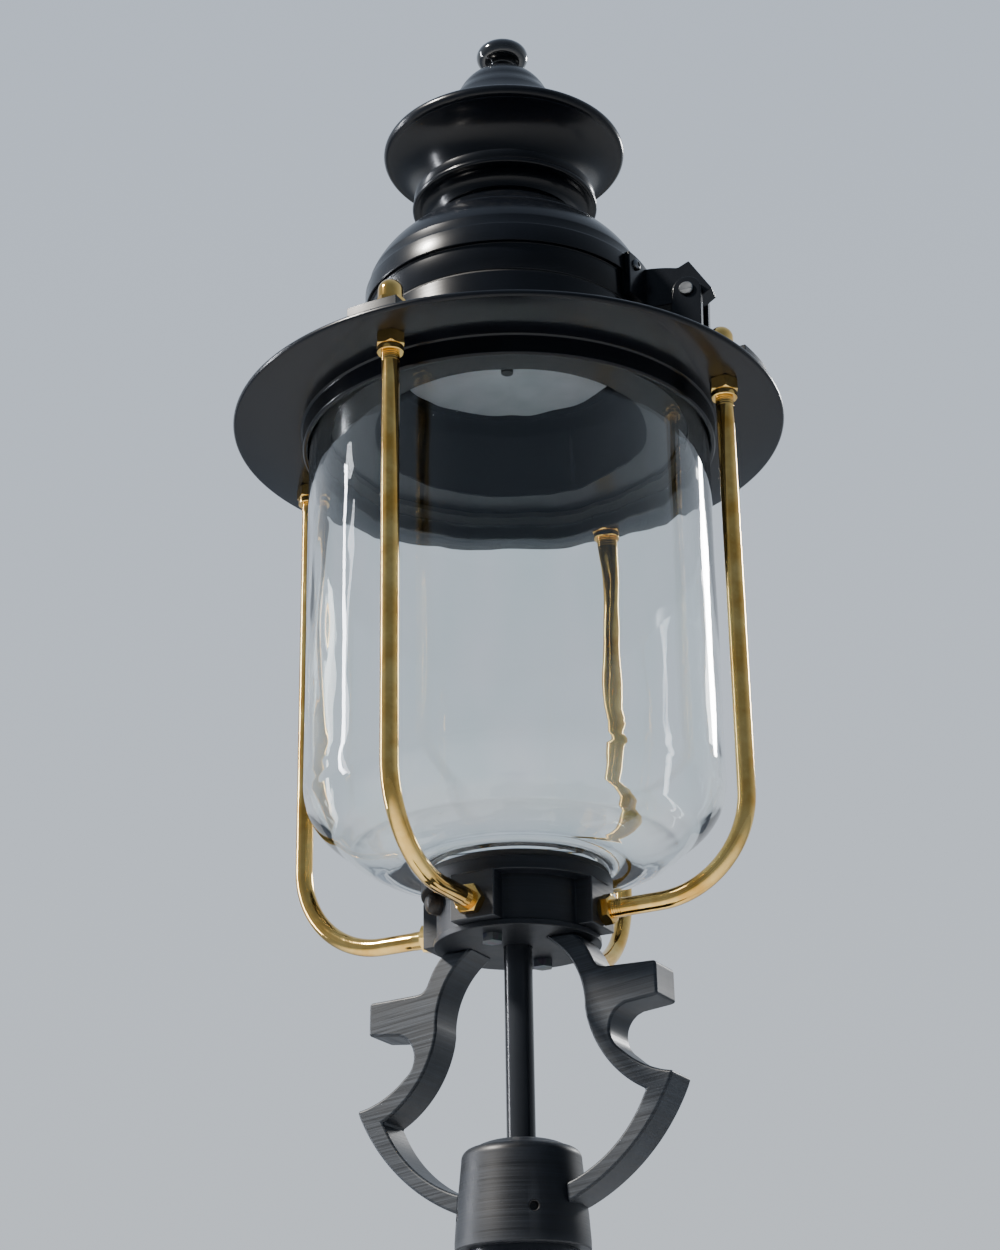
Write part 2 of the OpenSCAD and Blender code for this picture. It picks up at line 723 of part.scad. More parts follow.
module vent_cap() {
  s = cap_shoulder_r;
  z = cap_rim_z;
  color("black") at_brim() difference() {
    rotate_extrude() polygon(concat(
      [[cap_r - 5, z - 4], [cap_r - 3, z - 4]],
      arc3([cap_r - 3, z - 4], [cap_r, z + 0.6], [cap_r - 3, z + 5.2], 8),
      [[cap_r - 8, z + 5.6]],
      arc3([cap_r - 9, z + 6], [cap_r - 34, z + 22], [s + 5, z + 49], 12),
      arc3([s - 1, z + 58], [s - 11, z + 73], [12, z + 82.6], 8),
      [[10, z + 84], [10, z + 86], [0, z + 86], [0, z + 77.5], [10, z + 77]],
      arc3([s - 15, z + 69], [s - 7, z + 58], [s - 2, z + 48], 8),
      arc3([s + 1, z + 43], [cap_r - 37, z + 16], [cap_r - 9, z - 1.2], 10),
      [[cap_r - 5, z - 1.2]]));
    translate([0, 0, z + 60]) cylinder(r = 5, h = 40);
  }
}

module finial_knob() {
  r = knob_r;
  color("black") at_brim() difference() {
    rotate_extrude() polygon(concat([[0, 338], [10.5, 338], [9.5, 340.6]],
      arc3([10.5, 341.4], [r, knob_z], [10.5, knob_z + 8], 12),
      arc3([8, knob_z + 8.8], [4, knob_z + 9.7], [0, knob_z + 10], 3)));
    translate([0, 0, 330]) cylinder(r = 5, h = 20);
  }
}

module lid_rod() {
  color("silver") at_brim() {
    translate([0, 0, 172]) cylinder(r = 5, h = 178);
    translate([0, 0, 186]) ring(49, 5, 4);
    translate([0, 0, 178]) hex_nut(17, 8, 5);
    translate([0, 0, 190]) hex_nut(17, 8, 5);
  }
}

base_plate();
base_tube();
base_gussets();
base_cap();
post_tube();
post_sleeve();
post_rings();
access_door();
door_hinge_barrels();
door_hinge_pins();
door_knuckles();
door_lock();
lock_cam();
cutout_board();
cutout_box();
board_brackets();
earth_stud();
socket();
grub_screws();
conduit();
conduit_locknuts();
frog_plate();
frog_leg_left();
frog_leg_right();
frog_screws();
gallery();
gallery_screw();
glass_seal_low();
glass();
glass_seal_top();
rod_1();
rod_2();
rod_3();
rod_4();
rod_foot_nuts();
rod_under_nuts();
rod_washers();
rod_dome_nuts();
hood_ring();
hood_band();
band_lip();
band_gasket();
diffuser();
diffuser_nut();
lamp_board();
gear_tray();
gear_posts();
lamp_driver();
terminal_block();
hinge_bracket();
hinge_pin();
hinge_leaf();
hinge_screws();
lid_bell();
neck_tube();
neck_collar();
cap_foot();
vent_cap();
finial_knob();
lid_rod();
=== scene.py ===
import bpy
import bmesh
import json
import math
from mathutils import Vector, Matrix, noise


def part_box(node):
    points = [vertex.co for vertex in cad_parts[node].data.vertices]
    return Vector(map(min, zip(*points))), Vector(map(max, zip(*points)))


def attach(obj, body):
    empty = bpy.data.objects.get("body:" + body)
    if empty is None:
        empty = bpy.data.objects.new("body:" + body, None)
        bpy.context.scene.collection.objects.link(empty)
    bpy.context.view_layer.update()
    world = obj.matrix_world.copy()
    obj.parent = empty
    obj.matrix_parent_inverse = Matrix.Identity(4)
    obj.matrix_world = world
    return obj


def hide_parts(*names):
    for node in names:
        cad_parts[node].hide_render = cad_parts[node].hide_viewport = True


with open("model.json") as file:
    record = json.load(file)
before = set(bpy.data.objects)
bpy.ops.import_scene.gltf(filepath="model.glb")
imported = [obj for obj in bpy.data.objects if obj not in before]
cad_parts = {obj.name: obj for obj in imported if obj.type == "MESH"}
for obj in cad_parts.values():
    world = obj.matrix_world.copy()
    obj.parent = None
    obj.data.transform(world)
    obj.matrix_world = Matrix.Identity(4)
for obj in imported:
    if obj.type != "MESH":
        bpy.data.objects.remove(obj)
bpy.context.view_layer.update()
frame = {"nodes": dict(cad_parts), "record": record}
print("stage: frame loaded")

mm = 0.001
# the brim ring's skirt hangs this far below the brim's underside, where every lantern height counts from
skirtDepth = 16
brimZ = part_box("hood_ring")[0][2] + skirtDepth * mm


# colour and node helpers

def tone(code):
    # sRGB hex to linear
    out = []
    for i in (1, 3, 5):
        c = int(code[i:i + 2], 16) / 255
        out.append(c / 12.92 if c <= 0.04045 else ((c + 0.055) / 1.055) ** 2.4)
    return (*out, 1.0)


def addNode(tree, kind, settings=None, inputs=()):
    # one node with its settings and links; inputs go by socket name, or as a list in the node's own order,
    # and a node given as an input links its first output; "stops" are a ramp's places and colours
    node = tree.nodes.new("ShaderNode" + kind)
    for key, value in (settings or {}).items():
        if key == "stops":
            marks = node.color_ramp.elements
            while len(marks) < len(value):
                marks.new(0.5)
            for mark, (position, colour) in zip(marks, value):
                mark.position = position
                mark.color = tone(colour)
        else:
            setattr(node, key, value)
    if not isinstance(inputs, dict):
        inputs = dict(enumerate(inputs))
    sockets = [socket for socket in node.inputs if socket.enabled]
    for key, value in inputs.items():
        target = sockets[key] if isinstance(key, int) else node.inputs[key]
        if isinstance(value, bpy.types.Node):
            value = [socket for socket in value.outputs if socket.enabled][0]
        if isinstance(value, bpy.types.NodeSocket):
            tree.links.new(value, target)
        else:
            target.default_value = value
    return node


def startMaterial(name):
    mat = bpy.data.materials.new(name)
    mat.use_nodes = True
    mat.node_tree.nodes.clear()
    place = addNode(mat.node_tree, "TexCoord").outputs["Object"]
    return mat, mat.node_tree, place


def finishMaterial(tree, look, bumps=()):
    # bumps are (height, strength, depth in metres), laid over each other
    normal = None
    for height, strength, depth in bumps:
        inputs = {"Height": height, "Strength": strength, "Distance": depth}
        if normal:
            inputs["Normal"] = normal
        normal = addNode(tree, "Bump", None, inputs)
    if normal:
        look = dict(look, Normal=normal)
    addNode(tree, "OutputMaterial", None, {"Surface": addNode(tree, "BsdfPrincipled", None, look)})


def perMetre(*widths):
    # how many features of this width in mm fit in a metre, for one width or one for each axis
    counts = tuple(1000 / width for width in widths)
    return counts if len(counts) > 1 else counts[0]


# Satin black powder coat on spun aluminium: deep black, tinted slightly blue as painted reflection of a blue
# sky, with a soft wide highlight, orange peel you feel more than see, faint spinning rings under it and a
# little grey dust on top.
def powderCoat(name, base="#07090d", lift="#0d1016", rough=0.22, ringDepth=0.5, dust=0.16, peelMm=1.6,
               splash=0.0):
    mat, tree, place = startMaterial(name)
    cloud = addNode(tree, "TexNoise", None,
                    {"Vector": place, "Scale": perMetre(70), "Detail": 5.0, "Roughness": 0.6})
    peel = addNode(tree, "TexNoise", None, {"Vector": place, "Scale": perMetre(peelMm), "Detail": 2.0})
    x, y, height = addNode(tree, "SeparateXYZ", None, [place]).outputs
    reach = addNode(tree, "VectorMath", {"operation": "LENGTH"}, [addNode(tree, "CombineXYZ", None, [x, y])])
    ringPlace = addNode(tree, "CombineXYZ", None, [reach, height])
    rings = addNode(tree, "TexNoise", None, {"Vector": ringPlace, "Scale": perMetre(2.2), "Detail": 3.0})
    surface = addNode(tree, "NewGeometry").outputs
    upward = addNode(tree, "SeparateXYZ", None, [surface["Normal"]]).outputs["Z"]
    specks = addNode(tree, "TexNoise", None,
                     {"Vector": place, "Scale": perMetre(9), "Detail": 8.0, "Roughness": 0.75})
    dusty = addNode(tree, "Math", {"operation": "MULTIPLY"},
                    [addNode(tree, "MapRange", None, [upward, 0.35, 1.0, 0.0, dust]),
                     addNode(tree, "MapRange", None, [specks, 0.45, 0.75, 0.0, 1.0])])
    colour = addNode(tree, "ValToRGB", {"stops": [(0.3, base), (0.75, lift)]}, [cloud])
    colour = addNode(tree, "Mix", {"data_type": "RGBA"}, [dusty, colour, tone("#4d4b47")])
    if splash:
        # road splash, thick at the foot and gone by knee height
        spots = addNode(tree, "TexNoise", None,
                        {"Vector": place, "Scale": perMetre(16), "Detail": 9.0, "Roughness": 0.8})
        dirty = addNode(tree, "Math", {"operation": "MULTIPLY"},
                        [addNode(tree, "MapRange", None, [height, 0.01, 0.55, splash, 0.0]),
                         addNode(tree, "MapRange", None, [spots, 0.42, 0.72, 0.0, 1.0])])
        colour = addNode(tree, "Mix", {"data_type": "RGBA"}, [dirty, colour, tone("#5b544a")])
        dusty = addNode(tree, "Math", {"operation": "MAXIMUM"}, [dusty, dirty])
    edge = addNode(tree, "MapRange", None, [surface["Pointiness"], 0.53, 0.60, 0.0, 0.3])
    colour = addNode(tree, "Mix", {"data_type": "RGBA"}, [edge, colour, tone("#33363b")])
    dull = addNode(tree, "Math", {"operation": "MULTIPLY"}, [dusty, 0.5])
    cloudy = addNode(tree, "MapRange", None, [cloud, 0.25, 0.8, rough - 0.02, rough + 0.04])
    roughness = addNode(tree, "Math", {"operation": "ADD"}, [cloudy, dull])
    finishMaterial(tree, {"Base Color": colour, "Roughness": roughness, "Specular IOR Level": 0.22,
                          "Coat Weight": 0.06, "Coat Roughness": 0.08},
                   [(peel, 0.14, 0.00005), (rings, ringDepth, 0.00003)])
    return mat


# Black paint brushed thin over a hand sanded casting: greyer than the hood, with the sanding strokes
# of the metal reading through as parallel lines, and small pits left from the mould. Real strokes are
# some 0.2 mm wide; they are drawn at about 1.1 mm so that they show.
# the slight blue in the default blacks is painted reflection of a blue sky, laid over the paint's own black
def paintedCasting(name, base="#090c11", lift="#141921", turn=(0, 0, 0.6), strokeMm=(111, 111, 1.11),
                   rough=0.36):
    mat, tree, place = startMaterial(name)
    turned = addNode(tree, "Mapping", None, {"Vector": place, "Rotation": turn})
    strokes = addNode(tree, "Mapping", None, {"Vector": turned, "Scale": perMetre(*strokeMm)})
    brush = addNode(tree, "TexNoise", None,
                    {"Vector": strokes, "Scale": 1.0, "Detail": 6.0, "Roughness": 0.65, "Distortion": 0.4})
    cloud = addNode(tree, "TexNoise", None,
                    {"Vector": place, "Scale": perMetre(35), "Detail": 6.0, "Roughness": 0.6})
    grit = addNode(tree, "TexNoise", None, {"Vector": place, "Scale": perMetre(1.2), "Detail": 3.0})
    pits = addNode(tree, "TexVoronoi", {"feature": "F1"}, {"Vector": place, "Scale": perMetre(7)})
    pitDepth = addNode(tree, "MapRange", None, [pits, 0.0, 0.12, 0.0, 1.0])
    strokeMask = addNode(tree, "MapRange", None, [brush, 0.40, 0.68, 0.0, 1.0])
    colour = addNode(tree, "Mix", {"data_type": "RGBA"}, [strokeMask, tone(base), tone(lift)])
    cloudMask = addNode(tree, "MapRange", None, [cloud, 0.45, 0.8, 0.0, 0.5])
    colour = addNode(tree, "Mix", {"data_type": "RGBA"}, [cloudMask, colour, tone("#0c0d10")])
    pointed = addNode(tree, "NewGeometry").outputs["Pointiness"]
    edge = addNode(tree, "MapRange", None, [pointed, 0.52, 0.60, 0.0, 0.5])
    colour = addNode(tree, "Mix", {"data_type": "RGBA"}, [edge, colour, tone("#43464b")])
    roughness = addNode(tree, "Math", {"operation": "ADD"},
                        [addNode(tree, "MapRange", None, [brush, 0.3, 0.7, rough - 0.08, rough + 0.12]),
                         addNode(tree, "MapRange", None, [cloud, 0.3, 0.8, -0.03, 0.06])])
    finishMaterial(tree, {"Base Color": colour, "Roughness": roughness, "Specular IOR Level": 0.3},
                   [(brush, 0.4, 0.00010), (grit, 0.25, 0.00006), (pitDepth, 0.35, 0.00012)])
    return mat


# Gloss black enamel, dipped: tight bright highlight and long soft reflections.
def glossEnamel(name):
    mat, tree, place = startMaterial(name)
    cloud = addNode(tree, "TexNoise", None, {"Vector": place, "Scale": perMetre(14), "Detail": 3.0})
    colour = addNode(tree, "ValToRGB", {"stops": [(0.3, "#08090b"), (0.8, "#101216")]}, [cloud])
    roughness = addNode(tree, "MapRange", None, [cloud, 0.2, 0.8, 0.08, 0.14])
    finishMaterial(tree, {"Base Color": colour, "Roughness": roughness,
                          "Coat Weight": 0.8, "Coat Roughness": 0.04},
                   [(cloud, 0.15, 0.0003)])
    return mat


# Drawn brass, polished and lacquered: warm yellow, mirror-like along the bar, with draw lines
# running down it, slow waves in the polish and slightly browner patches where fingers held it. The
# draw lines are 0.7 mm wide, some five times coarser than real, so that they show.
def polishedBrass(name, rough=0.07):
    mat, tree, place = startMaterial(name)
    alongBar = addNode(tree, "Mapping", None, {"Vector": place, "Scale": perMetre(0.714, 0.714, 111)})
    drawn = addNode(tree, "TexNoise", None,
                    {"Vector": alongBar, "Scale": 1.0, "Detail": 4.0, "Roughness": 0.6})
    cloud = addNode(tree, "TexNoise", None,
                    {"Vector": place, "Scale": perMetre(26), "Detail": 5.0, "Roughness": 0.6})
    touch = addNode(tree, "TexNoise", None,
                    {"Vector": place, "Scale": perMetre(11), "Detail": 6.0, "Roughness": 0.7,
                     "Distortion": 0.8})
    colour = addNode(tree, "ValToRGB", {"stops": [(0.30, "#cf9a3e"), (0.62, "#eec978")]}, [cloud])
    stained = addNode(tree, "MapRange", None, [touch, 0.60, 0.85, 0.0, 0.35])
    colour = addNode(tree, "Mix", {"data_type": "RGBA"}, [stained, colour, tone("#8a5a22")])
    roughness = addNode(tree, "Math", {"operation": "ADD"},
                        [addNode(tree, "MapRange", None, [drawn, 0.3, 0.7, rough - 0.03, rough + 0.06]),
                         addNode(tree, "MapRange", None, [touch, 0.55, 0.85, 0.0, 0.16])])
    finishMaterial(tree, {"Base Color": colour, "Metallic": 1.0, "Roughness": roughness,
                          "Coat Weight": 0.25, "Coat Roughness": 0.08},
                   [(drawn, 0.10, 0.00003), (cloud, 0.05, 0.0003)])
    return mat


# Blown soda glass: clear, very faintly green in its thickness, with slow ripples that bend what is
# behind it and a few tiny bubbles.
def blownGlass(name):
    mat, tree, place = startMaterial(name)
    drawnOut = addNode(tree, "Mapping", None, {"Vector": place, "Scale": (1, 1, 0.45)})
    ripple = addNode(tree, "TexNoise", None,
                     {"Vector": drawnOut, "Scale": perMetre(38), "Detail": 2.0, "Roughness": 0.4})
    bubbles = addNode(tree, "TexVoronoi", {"feature": "F1"}, {"Vector": place, "Scale": perMetre(31)})
    bubbleDots = addNode(tree, "MapRange", None, [bubbles, 0.0, 0.03, 1.0, 0.0])
    tint = addNode(tree, "ValToRGB", {"stops": [(0.2, "#f4fbfa"), (0.8, "#ffffff")]}, [ripple])
    finishMaterial(tree, {"Base Color": tint, "Roughness": 0.0, "Transmission Weight": 1.0, "IOR": 1.47},
                   [(ripple, 0.22, 0.0012), (bubbleDots, 0.5, 0.0002)])
    return mat


# Opal acrylic: milky white, satin, a touch of light carried inside it.
def opalAcrylic(name):
    mat, tree, place = startMaterial(name)
    haze = addNode(tree, "TexNoise", None, {"Vector": place, "Scale": perMetre(24), "Detail": 4.0})
    grain = addNode(tree, "TexNoise", None, {"Vector": place, "Scale": perMetre(0.9), "Detail": 2.0})
    colour = addNode(tree, "ValToRGB", {"stops": [(0.3, "#a3a7ae"), (0.7, "#b6bac0")]}, [haze])
    roughness = addNode(tree, "MapRange", None, [haze, 0.3, 0.7, 0.32, 0.42])
    finishMaterial(tree, {"Base Color": colour, "Roughness": roughness,
                          "Subsurface Weight": 0.25, "Subsurface Radius": (0.006, 0.006, 0.006)},
                   [(grain, 0.15, 0.00004)])
    return mat


# EPDM rubber, moulded: dull charcoal with a dry bloom and a fine mould grain.
def mouldedRubber(name):
    mat, tree, place = startMaterial(name)
    bloom = addNode(tree, "TexNoise", None,
                    {"Vector": place, "Scale": perMetre(12), "Detail": 6.0, "Roughness": 0.7})
    grain = addNode(tree, "TexNoise", None, {"Vector": place, "Scale": perMetre(0.6), "Detail": 2.0})
    colour = addNode(tree, "ValToRGB", {"stops": [(0.35, "#141414"), (0.8, "#2a2a29")]}, [bloom])
    roughness = addNode(tree, "MapRange", None, [bloom, 0.3, 0.8, 0.62, 0.82])
    finishMaterial(tree, {"Base Color": colour, "Roughness": roughness}, [(grain, 0.4, 0.00005)])
    return mat


# Stainless steel, turned: cool grey with close lathe lines and broken highlights; the feed of the tool
# is drawn at 0.4 mm, twice the real one, so that it shows.
def turnedStainless(name):
    mat, tree, place = startMaterial(name)
    acrossFeed = addNode(tree, "Mapping", None, {"Vector": place, "Scale": perMetre(16.7, 16.7, 0.385)})
    feed = addNode(tree, "TexNoise", None, {"Vector": acrossFeed, "Scale": 1.0, "Detail": 4.0})
    cloud = addNode(tree, "TexNoise", None, {"Vector": place, "Scale": perMetre(8), "Detail": 5.0})
    colour = addNode(tree, "ValToRGB", {"stops": [(0.3, "#5d5f62"), (0.7, "#838587")]}, [cloud])
    roughness = addNode(tree, "MapRange", None, [feed, 0.3, 0.7, 0.24, 0.40])
    finishMaterial(tree, {"Base Color": colour, "Metallic": 1.0, "Roughness": roughness},
                   [(feed, 0.2, 0.00004)])
    return mat


# Zinc plated sheet: bluish grey with a soft spangle and dull white patches.
def zincSheet(name):
    mat, tree, place = startMaterial(name)
    spangle = addNode(tree, "TexVoronoi", {"feature": "F1"},
                      {"Vector": place, "Scale": perMetre(6)}).outputs
    cloud = addNode(tree, "TexNoise", None,
                    {"Vector": place, "Scale": perMetre(18), "Detail": 6.0, "Roughness": 0.7})
    colour = addNode(tree, "Mix", {"data_type": "RGBA", "blend_type": "SOFT_LIGHT"},
                     [0.25, tone("#56595c"), spangle["Color"]])
    patches = addNode(tree, "MapRange", None, [cloud, 0.5, 0.8, 0.0, 0.6])
    colour = addNode(tree, "Mix", {"data_type": "RGBA"}, [patches, colour, tone("#7b7e80")])
    roughness = addNode(tree, "MapRange", None, [cloud, 0.3, 0.8, 0.36, 0.58])
    finishMaterial(tree, {"Base Color": colour, "Metallic": 0.9, "Roughness": roughness},
                   [(spangle["Distance"], 0.1, 0.0001)])
    return mat


# Phenolic plywood, sawn: warm brown with long grain and darker pores.
def sawnPly(name):
    mat, tree, place = startMaterial(name)
    alongGrain = addNode(tree, "Mapping", None, {"Vector": place, "Scale": perMetre(2.38, 2.38, 71.4)})
    grain = addNode(tree, "TexNoise", None,
                    {"Vector": alongGrain, "Scale": 1.0, "Detail": 6.0, "Distortion": 0.6})
    cloud = addNode(tree, "TexNoise", None, {"Vector": place, "Scale": perMetre(60), "Detail": 3.0})
    colour = addNode(tree, "ValToRGB", {"stops": [(0.3, "#5a3c22"), (0.55, "#8a6238"), (0.8, "#a37a4a")]},
                     [grain])
    darker = addNode(tree, "MapRange", None, [cloud, 0.4, 0.8, 0.0, 0.4])
    colour = addNode(tree, "Mix", {"data_type": "RGBA"}, [darker, colour, tone("#4c331e")])
    roughness = addNode(tree, "MapRange", None, [grain, 0.3, 0.7, 0.5, 0.7])
    finishMaterial(tree, {"Base Color": colour, "Roughness": roughness}, [(grain, 0.4, 0.0002)])
    return mat


# Moulded nylon or PBT: low sheen over a spark eroded texture, drawn at 0.8 mm so that it shows.
def mouldedNylon(name, base="#1a1a1b", lift="#262627"):
    mat, tree, place = startMaterial(name)
    grain = addNode(tree, "TexNoise", None, {"Vector": place, "Scale": perMetre(0.8), "Detail": 3.0})
    cloud = addNode(tree, "TexNoise", None, {"Vector": place, "Scale": perMetre(20), "Detail": 4.0})
    colour = addNode(tree, "ValToRGB", {"stops": [(0.3, base), (0.7, lift)]}, [cloud])
    roughness = addNode(tree, "MapRange", None, [cloud, 0.3, 0.7, 0.42, 0.55])
    finishMaterial(tree, {"Base Color": colour, "Roughness": roughness}, [(grain, 0.35, 0.00006)])
    return mat


finishes = {
    "hood_paint": powderCoat("satinPowderCoatSpunAluminium"),
    "column_paint": powderCoat("blackEnamelRolledSteel", "#090b0f", "#12151b", rough=0.24, ringDepth=0.25,
                               dust=0.3, peelMm=2.4, splash=0.7),
    "casting_paint": paintedCasting("thinBlackPaintSandedCasting", rough=0.44),
    "gloss_paint": glossEnamel("glossBlackEnamelTurned"),
    "conduit_paint": powderCoat("blackEnamelDrawnConduit", "#0b0c0f", "#14161a", rough=0.20, ringDepth=0.1,
                                dust=0.05, peelMm=1.2),
    "brass": polishedBrass("polishedDrawnBrass"),
    "clear_glass": blownGlass("clearBlownGlass"),
    "opal_plastic": opalAcrylic("opalAcrylicSheet"),
    "rubber": mouldedRubber("mouldedEpdmRubber"),
    "stainless_steel": turnedStainless("turnedStainlessSteel"),
    "zinc_steel": zincSheet("zincPlatedSheet"),
    "plywood": sawnPly("phenolicPlywoodSawn"),
    "black_plastic": mouldedNylon("blackNylonMoulded"),
    "lamp_white": mouldedNylon("whitePbtMoulded", "#d5d6d2", "#e8e8e5"),
    "black_steel": paintedCasting("blackenedSteelScrews", "#120f0d", "#2c241c", turn=(0, 0, 0),
                                  strokeMm=(1.43, 1.43, 1.43), rough=0.32),
}
# The legs take a lighter copy of the sanded casting paint that the gallery, plate and socket wear: painted
# sheen, standing in for the sun glancing off their front faces.
paintedSheenLegFinish = paintedCasting("thinBlackPaintSandedLegsPaintedSheen", "#12161b", "#2c323a", turn=(0, 0.12, 0),
                           strokeMm=(125, 125, 1.43), rough=0.40)
slotOf = {row["node"]: row["material_slot"] for row in frame["record"]["subparts"]}
for nodeName, obj in frame["nodes"].items():
    obj.data.materials.clear()
    obj.data.materials.append(finishes[slotOf[nodeName]])
print("stage: materials ready")


# mesh helpers

def arcThrough(a, b, c, count=10):
    # points on the arc from a through b to c, both ends included
    (ax, ay), (bx, by), (cx, cy) = a, b, c
    d = 2 * (ax * (by - cy) + bx * (cy - ay) + cx * (ay - by))
    p, q, s = ax * ax + ay * ay, bx * bx + by * by, cx * cx + cy * cy
    ox = (p * (by - cy) + q * (cy - ay) + s * (ay - by)) / d
    oy = (p * (cx - bx) + q * (ax - cx) + s * (bx - ax)) / d
    radius = math.hypot(ax - ox, ay - oy)
    u, m, v = (math.degrees(math.atan2(y - oy, x - ox)) for x, y in (a, b, c))
    forward, middle = (v - u) % 360, (m - u) % 360
    sweep = forward if middle <= forward else forward - 360
    steps = [math.radians(u + sweep * i / count) for i in range(count + 1)]
    return [(ox + radius * math.cos(t), oy + radius * math.sin(t)) for t in steps]


def around(radius, count, x=0.0, y=0.0):
    # points on a full circle
    turns = [2 * math.pi * i / count for i in range(count)]
    return [(x + radius * math.cos(t), y + radius * math.sin(t)) for t in turns]


def spin(degrees):
    return Matrix.Rotation(math.radians(degrees), 4, "Z")


def shift(x, y, z):
    return Matrix.Translation((x, y, z))


def widest(node):
    # how far a node of the frame reaches out from the post's centre, in mm to a twentieth
    return round(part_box(node)[1][0] / mm * 20) / 20


brimMm = brimZ / mm
atBrim = shift(0, 0, brimMm)
outward = Matrix.Rotation(math.radians(90), 4, "Y")     # a lathe's height becomes +x
edgeOn = Matrix.Rotation(math.radians(90), 4, "X")      # outline x, y to frame x, z; depth runs to -y


def keep(name, bm, body, stands, slotName, bevelMm=0.0, bevelAngle=28, smoothAngle=50, clamp=True,
         finish=None):
    # bm is in millimetres in the frame's own axes, and the piece's origin stays at the frame's;
    # stands lists the frame's nodes that the piece stands in for
    bmesh.ops.remove_doubles(bm, verts=bm.verts, dist=0.0004)
    bmesh.ops.recalc_face_normals(bm, faces=bm.faces)
    bmesh.ops.scale(bm, vec=(mm, mm, mm), verts=bm.verts)
    mesh = bpy.data.meshes.new(name)
    bm.to_mesh(mesh)
    bm.free()
    mesh.materials.append(finish or finishes[slotName])
    mesh.shade_smooth()
    piece = bpy.data.objects.new(name, mesh)
    bpy.context.scene.collection.objects.link(piece)
    if bevelMm:
        bevel = piece.modifiers.new("edgeRounding", "BEVEL")
        bevel.width = bevelMm * mm
        bevel.segments = 3
        bevel.use_clamp_overlap = clamp
        bevel.limit_method = "ANGLE"
        bevel.angle_limit = math.radians(bevelAngle)
        bevel.harden_normals = True
    else:
        mesh.set_sharp_from_angle(angle=math.radians(smoothAngle))
    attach(piece, body)
    if stands:
        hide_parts(*stands)
    return piece


def addLathe(bm, points, lift=0.0, count=160, place=None):
    # closed profile in (radius, height); points on the axis become single vertices
    rings = []
    for r, z in points:
        spots = around(r, count) if r >= 0.001 else [(0, 0)]
        rings.append([bm.verts.new((x, y, z + lift)) for x, y in spots])
    for a, b in zip(rings, rings[1:] + rings[:1]):
        if len(a) == 1 and len(b) == 1:
            continue
        for i in range(count):
            j = (i + 1) % count
            if len(a) == 1:
                bm.faces.new((a[0], b[i], b[j]))
            elif len(b) == 1:
                bm.faces.new((a[i], b[0], a[j]))
            else:
                bm.faces.new((a[i], b[i], b[j], a[j]))
    made = [v for ring in rings for v in ring]
    if place is not None:
        bmesh.ops.transform(bm, matrix=place, verts=made)
    return made


def tubeSection(inner, outer, low, top):
    return [(inner, low), (outer, low), (outer, top), (inner, top)]


def addPrism(bm, outline, depth, place):
    # outline in the local XY plane, from z = 0 to depth
    low = [bm.verts.new((x, y, 0)) for x, y in outline]
    high = [bm.verts.new((x, y, depth)) for x, y in outline]
    bm.faces.new(list(reversed(low)))
    bm.faces.new(high)
    for i in range(len(outline)):
        j = (i + 1) % len(outline)
        bm.faces.new((low[i], low[j], high[j], high[i]))
    bmesh.ops.transform(bm, matrix=place, verts=low + high)


def addHexNut(bm, acrossFlats, height, bore, place, perSide=10):
    # a real nut's corners are turned off by a 30 degree cone, which leaves curved edges on the flats
    apothem = acrossFlats / 2
    faceR = apothem * 0.97
    slope = math.tan(math.radians(30))
    turns = [2 * math.pi * i / (6 * perSide) for i in range(6 * perSide)]
    fromCorner = [(t + math.pi / 6) % (math.pi / 3) - math.pi / 6 for t in turns]
    hexR = [apothem / math.cos(math.pi / 6 - abs(t)) for t in fromCorner]
    cuts = [max(0.0, (r - faceR) * slope) for r in hexR]
    flat = [faceR] * len(turns)
    hole = [bore] * len(turns)
    rows = []
    for radii, heights in ((hole, [0] * len(turns)), (flat, [0] * len(turns)), (hexR, cuts),
                           (hexR, [height - cut for cut in cuts]),
                           (flat, [height] * len(turns)), (hole, [height] * len(turns))):
        rows.append([bm.verts.new((r * math.cos(t), r * math.sin(t), z))
                     for r, t, z in zip(radii, turns, heights)])
    for a, b in zip(rows, rows[1:] + rows[:1]):
        for i in range(len(turns)):
            j = (i + 1) % len(turns)
            bm.faces.new((a[i], a[j], b[j], b[i]))
    bmesh.ops.transform(bm, matrix=place, verts=[v for row in rows for v in row])


# hood: ring, band and everything on the lid

ringSize = {"brimR": widest("hood_ring"), "thick": 5.5, "throatR": 104.7, "glassR": widest("glass"),
            "skirt": skirtDepth, "bossTop": 13.5, "bossHalf": 20, "bossInner": 160.5, "bossOuter": 206}
bandSize = {"bandR": 107.5, "bandIn": 104.5, "top": 83, "lidR": widest("lid_bell"), "lidLow": 84.2,
            "step": 107}
neckSize = {"inner": 49, "outer": 53, "low": 180, "top": 203.7, "collarLow": 200.7, "collarTop": 213.5}
hoodSteps, neckSteps = 256, 224      # facets round the turned pieces


